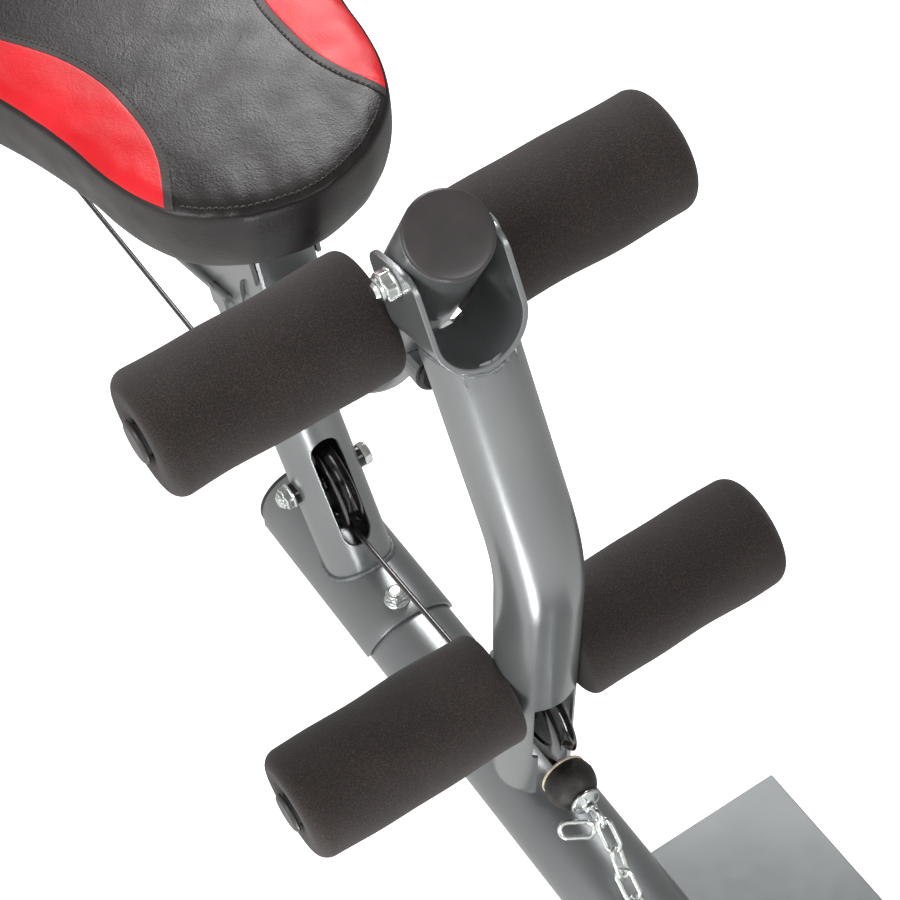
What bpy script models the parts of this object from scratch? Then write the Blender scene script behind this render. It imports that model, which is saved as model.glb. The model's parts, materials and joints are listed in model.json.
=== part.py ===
"""Adjustable weight bench with a leg developer and a low cable pulley.

Design frame: X across the bench, -Y towards the foot plate, +Y towards the backrest, Z up, with its
origin where the front post meets the floor tube's underside. One empty shifts the finished bench so
that the part's origin is the bottom centre of its box. Lengths are in metres, angles in degrees.
"""
import math

import bmesh
import bpy
from mathutils import Vector

GAP = 0.0003                # clearance between pieces that touch
WALL = 0.0020               # wall of the steel tubes
PIPE_R = 0.0254             # main tube, developer and rear base, 2 inch pipe
SIDES_R = 14                # bevel_resolution of a 32-sided pipe

# floor tube, saddle and foot plate
OVAL_A, OVAL_B = 0.0347, 0.0302
FLOOR_REAR, FLOOR_FRONT = 0.0870, -0.5700
PLATE_T = 0.0040
PLATE_W, PLATE_REAR, PLATE_FRONT = 0.3000, -0.3300, -0.5900
SADDLE_T, SADDLE_REAR, SADDLE_FRONT, SADDLE_SKIRT = 0.0030, 0.0780, -0.0880, 0.0200
SADDLE_BOLT_Y = -0.0680
BOLT_R = 0.0050             # M10 shanks

# front post and its pulley
POST_R = 0.0270
POST_FOOT = Vector((0.0, 0.0, 0.1000))
POST_UP = Vector((0.0, 0.2600, 1.0)).normalized()
SLOT_W, SLOT_LOW, SLOT_HIGH = 0.0240, -0.0190, 0.0820
POST_AXLE = Vector((0.0, 0.0086, 0.1325))
PULLEY_R, PULLEY_HALF_W, GROOVE_R = 0.0425, 0.0070, 0.0360
CABLE_R = 0.0022

# main tube: cap end, bend and rear end, all in the plane x = 0
CAP_END = Vector((0.0, -0.3030, 0.6375))
MAIN_BEND = Vector((0.0, -0.1390, 0.3880))
MAIN_SLOPE = -0.3190
BEND_R = 0.1600
BASE_R = 0.0300             # rubber end caps of the rear base
BASE_HALF = 0.2600

# leg developer: hinge, elbow and bottom end
HINGE = Vector((0.0, -0.2872, 0.6101))
DEV_DOWN = Vector((0.0, -0.0350, -0.1480)).normalized()
DEV_ELBOW = Vector((0.0, -0.3381, 0.3947))
DEV_BOTTOM = Vector((0.0, -0.2587, 0.0790))
DEV_AXLE = Vector((0.0, -0.2825, 0.1775))
YOKE_IN, YOKE_OUT, YOKE_HALF_W = 0.0262, 0.0297, 0.0265
YOKE_CENTRE, YOKE_TOP = 0.0340, 0.0115

# roller rods and foam rollers
TOP_ROD = Vector((0.0, -0.2367, 0.5421))
LOW_ROD = Vector((0.0, -0.2904, 0.2292))
ROD_R = 0.0095
FOAM_R, FOAM_ROUND = 0.0400, 0.0110
TOP_FOAM = (0.0257, 0.1764)
LOW_FOAM = (0.0257, 0.1813)

# cable end: washer, rubber ball and eye in front of the developer, and the chain
CABLE_Z = 0.1165
WASHER_Y, BALL_Y, CUP_Y = -0.2985, -0.3155, -0.3335
BALL_R = 0.0180
CHAIN_REST_Z = 0.0680

# seat, rail and backrest
SEAT_POST_HALF, SEAT_POST_Y = 0.0220, -0.0175
SEAT_LOW, SEAT_HIGH = 0.4752, 0.5380
GUSSET_T, GUSSET_REAR, GUSSET_ARC, GUSSET_R = 0.0030, 0.1150, (-0.0470, 0.3520), 0.0450
RAIL_LOW, RAIL_HIGH, RAIL_HALF, RAIL_REAR = 0.4370, 0.4620, 0.0200, 0.2500
BACK_HINGE = Vector((0.0, 0.2800, 0.4850))
BACK_ANGLE = 45.0           # rest angle of the backrest, 0 flat
BACK_LENGTH, BACK_WIDTH, BACK_START = 0.6400, 0.2600, 0.0560
SPINE_HALF, SPINE_T, SPINE_W = 0.0200, 0.0300, 0.0020
QUAD_R, QUAD_HOLE_R, QUAD_T = 0.1300, 0.1150, 0.0050
PIN_ANGLE, PIN_R = -60.0, 0.0040
STOPS = (-15, -30, -45, -60, -75, -90)
EAR_T = 0.0040
BACK_PAD_T = 0.0520
KEEPER_R = 0.0028
REAR_POST_Y = 0.2250

BASE_AXIS_Z = 0.0280 - PLATE_T - GAP
REAR_Y = 0.0327 + (BASE_AXIS_Z - 0.3335) / MAIN_SLOPE
FLOOR_Z = -PLATE_T - GAP
CENTRE_Y = (PLATE_FRONT + REAR_Y + BASE_R) / 2

X = Vector((1.0, 0.0, 0.0))
Y = Vector((0.0, 1.0, 0.0))
Z = Vector((0.0, 0.0, 1.0))

PAINT = ((0.27, 0.28, 0.29), 0.35, 0.85)
ZINC = ((0.72, 0.76, 0.75), 0.28, 1.0)
BLACK = ((0.02, 0.02, 0.02), 0.45, 0.0)
FOAM = ((0.035, 0.028, 0.026), 0.95, 0.0)
RUBBER = ((0.03, 0.025, 0.025), 0.6, 0.0)
VINYL = ((0.05, 0.045, 0.045), 0.5, 0.0)
WOOD = ((0.35, 0.24, 0.14), 0.7, 0.0)
BRASS = ((0.85, 0.72, 0.55), 0.4, 0.0)


def clear_scene():
    """Start from an empty scene."""
    for item in list(bpy.data.objects):
        bpy.data.objects.remove(item, do_unlink=True)


clear_scene()
bench = bpy.data.collections.new("weight_bench")
cutters = bpy.data.collections.new("cutters")
bpy.context.scene.collection.children.link(bench)
bpy.context.scene.collection.children.link(cutters)
origin = bpy.data.objects.new("bench_origin", None)
origin.location = (0.0, -CENTRE_Y, -FLOOR_Z)
bench.objects.link(origin)


def material(name, finish):
    """One Principled material: colour, roughness, metallic."""
    colour, roughness, metallic = finish
    mat = bpy.data.materials.new(name)
    mat.use_nodes = True
    shader = mat.node_tree.nodes["Principled BSDF"]
    shader.inputs["Base Color"].default_value = (*colour, 1.0)
    shader.inputs["Roughness"].default_value = roughness
    shader.inputs["Metallic"].default_value = metallic
    return mat


def add_object(name, data, finish):
    """Link a new object: a named part with a finish, or a cutter without one."""
    item = bpy.data.objects.new(name, data)
    item.parent = origin
    if finish is None:
        cutters.objects.link(item)
        item.hide_render = True
        item.display_type = "WIRE"
    else:
        bench.objects.link(item)
        data.materials.append(material(name, finish))
    return item


def shade(mesh):
    """Smooth round faces, sharp edges past 35 degrees."""
    mesh.shade_smooth()
    mesh.set_sharp_from_angle(angle=math.radians(35))


def settle_mesh(name, curve_object, finish):
    """Turn a curve object into a welded closed mesh object of the same place."""
    bpy.context.view_layer.update()
    graph = bpy.context.evaluated_depsgraph_get()
    mesh = bpy.data.meshes.new_from_object(curve_object.evaluated_get(graph))
    matrix = curve_object.matrix_basis.copy()
    curve = curve_object.data
    bpy.data.objects.remove(curve_object, do_unlink=True)
    bpy.data.curves.remove(curve)
    form = bmesh.new()
    form.from_mesh(mesh)
    bmesh.ops.remove_doubles(form, verts=form.verts, dist=0.00001)
    bmesh.ops.recalc_face_normals(form, faces=form.faces)
    form.to_mesh(mesh)
    form.free()
    mesh.name = name
    mesh.materials.clear()
    shade(mesh)
    item = add_object(name, mesh, finish)
    item.matrix_basis = matrix
    return item


def rod(name, points, radius, finish=None, resolution=SIDES_R):
    """Solid round bar along a list of points: a curve with a bevel and filled caps."""
    curve = bpy.data.curves.new(name + "_path", "CURVE")
    curve.dimensions = "3D"
    curve.bevel_depth = radius
    curve.bevel_resolution = resolution
    curve.use_fill_caps = True
    spline = curve.splines.new("POLY")
    spline.points.add(len(points) - 1)
    for knot, point in zip(spline.points, points):
        knot.co = (*point, 1.0)
    guide = bpy.data.objects.new(name + "_path", curve)
    cutters.objects.link(guide)
    return settle_mesh(name, guide, finish)


def outline_plate(name, outline, thickness, finish=None, smooth_ends=False, bevel=0.0, steps=6):
    """Flat plate in the XY plane from an outline of points; a smooth one runs through them."""
    curve = bpy.data.curves.new(name + "_outline", "CURVE")
    curve.dimensions = "2D"
    curve.fill_mode = "BOTH"
    curve.extrude = thickness / 2 - bevel
    curve.bevel_depth = bevel
    curve.bevel_resolution = 2
    curve.resolution_u = steps
    kind = "BEZIER" if smooth_ends else "POLY"
    spline = curve.splines.new(kind)
    knots = spline.bezier_points if smooth_ends else spline.points
    knots.add(len(outline) - 1)
    for knot, point in zip(knots, outline):
        if smooth_ends:
            knot.co = (point[0], point[1], 0.0)
            knot.handle_left_type = knot.handle_right_type = "AUTO"
        else:
            knot.co = (point[0], point[1], 0.0, 1.0)
    spline.use_cyclic_u = True
    guide = bpy.data.objects.new(name + "_outline", curve)
    cutters.objects.link(guide)
    return settle_mesh(name, guide, finish)


def turned(name, profile, place, axis, finish=None, steps=32, ring=False):
    """Turned piece: a profile of (radius, height) down its outer side, screwed round its axis."""
    mesh = bpy.data.meshes.new(name)
    verts = [(radius, 0.0, height) for radius, height in profile]
    edges = [(i, i + 1) for i in range(len(verts) - 1)]
    if ring:
        edges.append((len(verts) - 1, 0))
    mesh.from_pydata(verts, edges, [])
    item = add_object(name, mesh, finish)
    item.location = place
    item.rotation_mode = "QUATERNION"
    item.rotation_quaternion = Vector(axis).to_track_quat("Z", "Y")
    screw = item.modifiers.new("turn", "SCREW")
    screw.steps = screw.render_steps = steps
    screw.use_merge_vertices = True
    screw.merge_threshold = 0.00001
    screw.use_smooth_shade = True
    return item


def box(name, size, place, finish=None, bevel=0.0, tilt=0.0):
    """Box of a size, turned about X by tilt degrees, with bevelled edges."""
    mesh = bpy.data.meshes.new(name)
    form = bmesh.new()
    bmesh.ops.create_cube(form, size=1.0)
    bmesh.ops.scale(form, vec=Vector(size), verts=form.verts)
    form.to_mesh(mesh)
    form.free()
    item = add_object(name, mesh, finish)
    item.location = place
    item.rotation_euler = (math.radians(tilt), 0.0, 0.0)
    if bevel > 0:
        edge = item.modifiers.new("edge", "BEVEL")
        edge.width = bevel
        edge.segments = 2
    return item


def hexagon(name, across_flats, height, place, axis, finish=None):
    """Hexagonal prism with its middle at place."""
    mesh = bpy.data.meshes.new(name)
    form = bmesh.new()
    radius = across_flats / math.sqrt(3)
    bmesh.ops.create_cone(form, cap_ends=True, segments=6, radius1=radius, radius2=radius, depth=height)
    form.to_mesh(mesh)
    form.free()
    item = add_object(name, mesh, finish)
    item.location = place
    item.rotation_mode = "QUATERNION"
    item.rotation_quaternion = Vector(axis).to_track_quat("Z", "Y")
    return item


def combine(item, *others, operation="DIFFERENCE"):
    """Cut the others out of an item, or join them to it."""
    for other in others:
        step = item.modifiers.new(other.name, "BOOLEAN")
        step.operation = operation
        step.solver = "EXACT"
        step.object = other
    return item


def cylinder(name, place, axis, radius, length, finish=None, steps=32):
    """Plain cylinder with its middle at place."""
    half = length / 2
    profile = [(0.0, half), (radius, half), (radius, -half), (0.0, -half)]
    return turned(name, profile, place, axis, finish, steps)


def across(place, x):
    """The point of the middle plane, moved sideways to x."""
    return Vector((x, place[1], place[2]))


def main_point(y):
    """Point of the main tube's rear straight at a given y."""
    return Vector((0.0, y, 0.3335 + MAIN_SLOPE * (y - 0.0327)))


def side_plate(name, outline, x, thickness, finish=None):
    """Upright plate across x from an outline of (y, z) points."""
    plate = outline_plate(name, outline, thickness, finish)
    plate.rotation_euler = (math.radians(90), 0.0, math.radians(90))
    plate.location = (x, 0.0, 0.0)
    return plate


def arc_path(start, corner, end, radius, steps):
    """Straight, arc, straight: the centre line of a bent tube with one bend."""
    first = (start - corner).normalized()
    second = (end - corner).normalized()
    half_angle = first.angle(second) / 2
    reach = radius / math.tan(half_angle)
    middle = corner + (first + second).normalized() * radius / math.sin(half_angle)
    begin = corner + first * reach - middle
    finish = corner + second * reach - middle
    turn = begin.angle(finish)
    points = [start]
    for i in range(steps + 1):
        share = i / steps
        weight_a = math.sin((1 - share) * turn) / math.sin(turn)
        weight_b = math.sin(share * turn) / math.sin(turn)
        points.append(middle + begin * weight_a + finish * weight_b)
    points.append(end)
    return points


def oval_bar(name, half_x, half_z, front, rear, finish=None):
    """Oval bar along Y, with its axis at the floor tube's height."""
    mesh = bpy.data.meshes.new(name)
    form = bmesh.new()
    bmesh.ops.create_cone(form, cap_ends=True, segments=40, radius1=1.0, radius2=1.0, depth=1.0)
    for vert in form.verts:
        x, y, z = vert.co
        vert.co = (x * half_x, z * (rear - front), y * half_z)
    bmesh.ops.recalc_face_normals(form, faces=form.faces)
    form.to_mesh(mesh)
    form.free()
    shade(mesh)
    item = add_object(name, mesh, finish)
    item.location = (0.0, (front + rear) / 2, OVAL_B)
    return item


def bolt(name, place, axis, length, head_af=0.0160, head_h=0.0064, radius=BOLT_R, washer=0.0):
    """Hex bolt: the head's underside at place, the shank running along -axis."""
    axis = Vector(axis)
    head = hexagon(name, head_af, head_h, place + axis * head_h / 2, axis, ZINC)
    shank = cylinder(name + "_shank", place - axis * (length / 2 - 0.001), axis, radius, length + 0.002, None, 20)
    combine(head, shank, operation="UNION")
    if washer > 0:
        flange = cylinder(name + "_flange", place + axis * 0.0009, axis, washer, 0.0018, None, 24)
        combine(head, flange, operation="UNION")
    return head


def nut(name, place, axis, across_flats=0.0160, height=0.0090, radius=BOLT_R):
    """Hex nut with a round collar at its foot, its foot at place, its outer end towards axis."""
    axis = Vector(axis)
    body = hexagon(name, across_flats, height, place + axis * height / 2, axis, ZINC)
    collar = cylinder(name + "_collar", place + axis * 0.0010, axis, across_flats * 0.62, 0.0020, None, 24)
    bore = cylinder(name + "_bore", place, axis, radius + GAP, 0.05, None, 20)
    combine(body, collar, operation="UNION")
    return combine(body, bore)


def pulley(name, place):
    """Grooved pulley about X with a bore for its axle bolt."""
    rim = 0.0014
    profile = [
        (BOLT_R + GAP, PULLEY_HALF_W),
        (PULLEY_R - 0.0008, PULLEY_HALF_W),
        (PULLEY_R, PULLEY_HALF_W - 0.0008),
        (PULLEY_R, PULLEY_HALF_W - rim),
        (GROOVE_R + 0.0010, 0.0022),
        (GROOVE_R, 0.0008),
        (GROOVE_R, -0.0008),
        (GROOVE_R + 0.0010, -0.0022),
        (PULLEY_R, -PULLEY_HALF_W + rim),
        (PULLEY_R, -PULLEY_HALF_W + 0.0008),
        (PULLEY_R - 0.0008, -PULLEY_HALF_W),
        (BOLT_R + GAP, -PULLEY_HALF_W),
    ]
    return turned(name, profile, place, X, BLACK, 40, ring=True)


def foam_roller(name, place, span, side):
    """Foam roller round its rod, with rounded ends."""
    inner, outer = span
    half = (outer - inner) / 2
    bore = ROD_R + GAP
    profile = [(bore, half)]
    for step in range(4):
        angle = math.radians(90 - 30 * step)
        profile.append((FOAM_R - FOAM_ROUND + FOAM_ROUND * math.cos(angle),
                        half - FOAM_ROUND + FOAM_ROUND * math.sin(angle)))
    for step in range(4):
        angle = math.radians(-30 * step)
        profile.append((FOAM_R - FOAM_ROUND + FOAM_ROUND * math.cos(angle),
                        -half + FOAM_ROUND + FOAM_ROUND * math.sin(angle)))
    profile.append((bore, -half))
    centre = across(place, side * (inner + half))
    return turned(name, profile, centre, X, FOAM, 32, ring=True)


def rod_plug(name, place, end, side):
    """Push-in end plug: a flat button outside the foam with a stem inside the tube rod."""
    profile = [(0.0, 0.0042), (0.0115, 0.0042), (0.0138, 0.0024), (0.0138, 0.0), (0.0075, 0.0), (0.0075, -0.0150),
               (0.0, -0.0150)]
    return turned(name, profile, across(place, side * (end + GAP)), X * side, BLACK, 24)


# ---- floor tube, saddle and foot plate ---------------------------------------------------------

def build_floor():
    floor_tube = oval_bar("floor_tube", OVAL_A, OVAL_B, FLOOR_FRONT, FLOOR_REAR, PAINT)
    inside = oval_bar("floor_tube_inside", OVAL_A - WALL, OVAL_B - WALL, FLOOR_FRONT - 0.01, FLOOR_REAR + 0.01)
    combine(floor_tube, inside)
    for end, y, way in (("front", FLOOR_FRONT, -1), ("rear", FLOOR_REAR, 1)):
        low, high = sorted((y + way * GAP, y + way * 0.0028))
        lid = oval_bar("floor_tube_cap_" + end, OVAL_A, OVAL_B, low, high, BLACK)
        low, high = sorted((y + way * 0.0010, y - way * 0.0150))
        stem = oval_bar("cap_stem_" + end, OVAL_A - WALL - GAP, OVAL_B - WALL - GAP, low, high)
        combine(lid, stem, operation="UNION")
    depth = PLATE_REAR - PLATE_FRONT
    box("foot_plate", (PLATE_W, depth, PLATE_T), (0.0, PLATE_FRONT + depth / 2, -GAP - PLATE_T / 2), PAINT, 0.0008)

    saddle = oval_bar("saddle_plate", OVAL_A + GAP + SADDLE_T, OVAL_B + GAP + SADDLE_T,
                      SADDLE_FRONT, SADDLE_REAR, PAINT)
    seat = oval_bar("saddle_inside", OVAL_A + GAP, OVAL_B + GAP, SADDLE_FRONT - 0.01, SADDLE_REAR + 0.01)
    below = box("saddle_below", (0.1, 0.3, 0.1), (0.0, 0.0, SADDLE_SKIRT - 0.05))
    combine(saddle, seat, below)
    top = 2 * OVAL_B + GAP + SADDLE_T
    hole = cylinder("saddle_hole", (0.0, SADDLE_BOLT_Y, OVAL_B), Z, BOLT_R + GAP, 0.09, None, 20)
    combine(floor_tube, hole)
    combine(saddle, hole)
    shank = [(0.0, top + 0.0115), (BOLT_R - 0.0008, top + 0.0115), (BOLT_R, top + 0.0105), (BOLT_R, -GAP),
             (0.0105, -GAP), (0.0085, -0.0030), (0.0, -0.0036)]
    turned("saddle_bolt", shank, (0.0, SADDLE_BOLT_Y, 0.0), Z, ZINC, 20)
    nut("saddle_nut", Vector((0.0, SADDLE_BOLT_Y, top + GAP)), Z)


# ---- front post and low pulley -----------------------------------------------------------------

def obround(name, half_width, low, high, start, along, depth):
    """Slot cutter: round ends, its long way along a direction in the middle plane, cut through Y."""
    length = high - low - 2 * half_width
    outline = []
    for way in (1, -1):
        for step in range(9):
            angle = math.radians(180 * step / 8) + (0 if way > 0 else math.pi)
            outline.append((half_width * math.cos(angle), way * length / 2 + half_width * math.sin(angle)))
    item = outline_plate(name, outline, depth)
    item.location = start + along * (low + high) / 2
    item.rotation_euler = (math.radians(90) - math.atan2(along.y, along.z), 0.0, 0.0)
    return item


def build_post():
    top = main_point(0.058) - POST_UP * 0.006
    bottom = POST_FOOT - POST_UP * 0.075
    post = rod("front_post", [bottom, top], POST_R, PAINT)
    bore = rod("front_post_inside", [bottom - POST_UP * 0.01, top + POST_UP * 0.03], POST_R - WALL)
    foot = oval_bar("front_post_foot", OVAL_A + SADDLE_T + 2 * GAP, OVAL_B + SADDLE_T + 2 * GAP, -0.1, 0.1)
    below = box("front_post_below", (0.1, 0.2, 0.1), (0.0, 0.0, -0.02))
    crown = rod("front_post_crown", [main_point(-0.2), main_point(0.3)], PIPE_R + GAP)
    slot = obround("front_post_slot", SLOT_W / 2, SLOT_LOW, SLOT_HIGH, POST_FOOT, POST_UP, 0.09)
    axle_hole = cylinder("front_post_axle_hole", POST_AXLE, X, BOLT_R + GAP, 0.08, None, 20)
    combine(post, foot, below, crown, slot, axle_hole, bore)
    pulley("post_pulley", POST_AXLE)
    face = POST_R + 0.0035
    bolt("post_axle_bolt", across(POST_AXLE, face), X, 2 * face + 0.0115)
    nut("post_axle_nut", across(POST_AXLE, -face), -X)


# ---- main tube, its cap, the bumper and the rear base ------------------------------------------

def build_main_tube():
    rear = main_point(REAR_Y)
    path = arc_path(CAP_END, MAIN_BEND, rear, BEND_R, 8)
    tube = rod("main_tube", path, PIPE_R, PAINT)
    up = (CAP_END - MAIN_BEND).normalized()
    down = (main_point(1.0) - main_point(0.0)).normalized()
    long_path = [CAP_END + up * 0.01] + path[1:-1] + [rear + down * 0.05]
    bore = rod("main_tube_inside", long_path, PIPE_R - WALL)
    base_cut = cylinder("main_tube_base_cut", Vector((0.0, REAR_Y, BASE_AXIS_Z)), X, PIPE_R + GAP, 0.2)
    hinge_hole = cylinder("main_tube_hinge_hole", HINGE, X, BOLT_R + GAP, 0.08, None, 20)
    rod_hole = cylinder("main_tube_rod_hole", TOP_ROD, X, ROD_R + GAP, 0.08, None, 24)
    combine(tube, base_cut, hinge_hole, rod_hole, bore)

    dome = [(0.0, 0.0050)]
    for step in range(1, 5):
        share = step / 4
        dome.append((0.0225 * share, 0.0020 + 0.0030 * math.sqrt(1 - (0.8 * share) ** 2)))
    dome += [(0.0250, 0.0024), (PIPE_R, 0.0012), (PIPE_R, GAP), (PIPE_R - WALL - GAP, GAP),
             (PIPE_R - WALL - GAP, -0.0120), (0.0, -0.0120)]
    turned("main_tube_cap", dome, CAP_END, up, BLACK, 40)

    stub_start = Vector((0.0, -0.1900, 0.4830))
    stub_end = Vector((0.0, -0.2490, 0.4830))
    stub = rod("bumper_stub", [stub_start, stub_end], 0.0150, PAINT, 10)
    seat = rod("bumper_stub_seat", [MAIN_BEND - up * 0.1, CAP_END], PIPE_R + GAP)
    combine(stub, seat)
    buffer = [(0.0, 0.0030), (0.0118, 0.0030), (0.0132, 0.0016), (0.0132, 0.0), (0.0, 0.0)]
    turned("bumper_rubber", buffer, stub_end - Y * GAP, -Y, RUBBER, 28)

    rod("rear_base", [Vector((-BASE_HALF, REAR_Y, BASE_AXIS_Z)), Vector((BASE_HALF, REAR_Y, BASE_AXIS_Z))],
        PIPE_R, PAINT)
    inside = cylinder("rear_base_inside", Vector((0.0, REAR_Y, BASE_AXIS_Z)), X, PIPE_R - WALL, 2 * BASE_HALF + 0.1)
    combine(bpy.data.objects["rear_base"], inside)
    for name, way in (("rear_foot_left", -1), ("rear_foot_right", 1)):
        cup = [(0.0, 0.0040), (0.0260, 0.0040), (BASE_R, 0.0), (BASE_R, -0.0400), (PIPE_R + GAP, -0.0400),
               (PIPE_R + GAP, 0.0), (0.0, 0.0)]
        place = Vector((way * (BASE_HALF + GAP), REAR_Y, BASE_AXIS_Z))
        foot = turned(name, cup, place, X * way, RUBBER, 32)
        under = box(name + "_flat", (0.2, 0.1, 0.02), (way * BASE_HALF, REAR_Y, FLOOR_Z - 0.01))
        combine(foot, under)


# ---- leg developer -----------------------------------------------------------------------------

def developer_path():
    """Centre line of the developer tube, from under the yoke to its open bottom end."""
    return arc_path(HINGE + DEV_DOWN * 0.040, DEV_ELBOW, DEV_BOTTOM, BEND_R, 8)


def build_developer():
    path = developer_path()
    low_way = (DEV_BOTTOM - DEV_ELBOW).normalized()
    tube = rod("developer_tube", path, PIPE_R, PAINT)
    bore = rod("developer_tube_inside", [path[0] - DEV_DOWN * 0.02] + path[1:-1] + [DEV_BOTTOM + low_way * 0.02],
               PIPE_R - WALL)
    yoke_middle = HINGE + DEV_DOWN * YOKE_CENTRE
    front_way = Vector((0.0, DEV_DOWN.z, -DEV_DOWN.y))
    crown = cylinder("developer_crown", yoke_middle, front_way, YOKE_OUT + GAP, 0.12, None, 45)
    rod_hole = cylinder("developer_rod_hole", LOW_ROD, X, ROD_R + GAP, 0.08, None, 24)
    axle_hole = cylinder("developer_axle_hole", DEV_AXLE, X, BOLT_R + GAP, 0.08, None, 20)
    combine(tube, crown, rod_hole, axle_hole)
    tilt = math.degrees(math.atan2(low_way.y, -low_way.z))
    for name, half_width, start, length in (("developer_slot", 0.0143, 0.155, 0.090),
                                            ("developer_slot_low", 0.0112, 0.095, 0.100)):
        middle = DEV_BOTTOM - low_way * (start - length / 2)
        combine(tube, box(name, (2 * half_width, 0.09, length), middle, None, 0.0, tilt))
    combine(tube, bore)

    outline = []
    for sign, edge in ((1, YOKE_OUT), (-1, YOKE_IN)):
        arc = [(edge * math.cos(math.radians(a)), -edge * math.sin(math.radians(a))) for a in range(0, 181, 12)]
        ends = [(edge, YOKE_CENTRE + YOKE_TOP)] + arc + [(-edge, YOKE_CENTRE + YOKE_TOP)]
        outline += ends[::sign]
    yoke = outline_plate("developer_yoke", outline, 2 * YOKE_HALF_W, PAINT)
    yoke.location = yoke_middle
    yoke.rotation_euler = (math.atan2(-DEV_DOWN.z, -DEV_DOWN.y), 0.0, 0.0)
    combine(yoke, cylinder("yoke_hinge_hole", HINGE, X, BOLT_R + GAP, 0.1, None, 20))
    for end, way in (("front", 1), ("rear", -1)):
        corner = box("yoke_corner_" + end, (0.1, 0.0140, 0.0140),
                     HINGE - DEV_DOWN * (YOKE_TOP + 0.0020) + front_way * way * (YOKE_HALF_W + 0.0020), None, 0.0,
                     math.degrees(math.atan2(DEV_DOWN.y, -DEV_DOWN.z)) + 45)
        combine(yoke, corner)

    face = YOKE_OUT + GAP
    bolt("hinge_bolt", across(HINGE, face), X, 2 * face + 0.0125)
    nut("hinge_nut", across(HINGE, -face), -X, height=0.0100)

    pulley("developer_pulley", DEV_AXLE)
    side = PIPE_R + GAP
    bolt("developer_axle_bolt", across(DEV_AXLE, side), X, 2 * side + 0.0100, head_h=0.0050, head_af=0.0130)
    nut("developer_axle_nut", across(DEV_AXLE, -side), -X, across_flats=0.0130, height=0.0070)


def build_rollers():
    for level, place, span in (("top", TOP_ROD, TOP_FOAM), ("low", LOW_ROD, LOW_FOAM)):
        end = span[1]
        bar = cylinder(level + "_rod", place, X, ROD_R, 2 * end, PAINT, 24)
        inside = cylinder(level + "_rod_inside", place, X, ROD_R - 0.0015, 2 * end + 0.02, None, 24)
        combine(bar, inside)
        for hand, side in (("left", -1), ("right", 1)):
            foam_roller(f"roller_{level}_{hand}", place, (span[0], end - 0.0005), side)
            rod_plug(f"plug_{level}_{hand}", place, end, side)


# ---- cable, stop ball and chain ----------------------------------------------------------------

def smooth_route(points, spacing):
    """Catmull-Rom curve through the route's points, read at an even parameter step."""
    route = []
    padded = [2 * points[0] - points[1]] + points + [2 * points[-1] - points[-2]]
    for i in range(1, len(padded) - 2):
        a, b, c, d = padded[i - 1:i + 3]
        count = max(1, round((c - b).length / spacing))
        for step in range(count):
            t = step / count
            route.append(0.5 * (2 * b + (c - a) * t + (2 * a - 5 * b + 4 * c - d) * t ** 2
                                + (3 * b - a - 3 * c + d) * t ** 3))
    route.append(points[-1])
    return route


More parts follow.
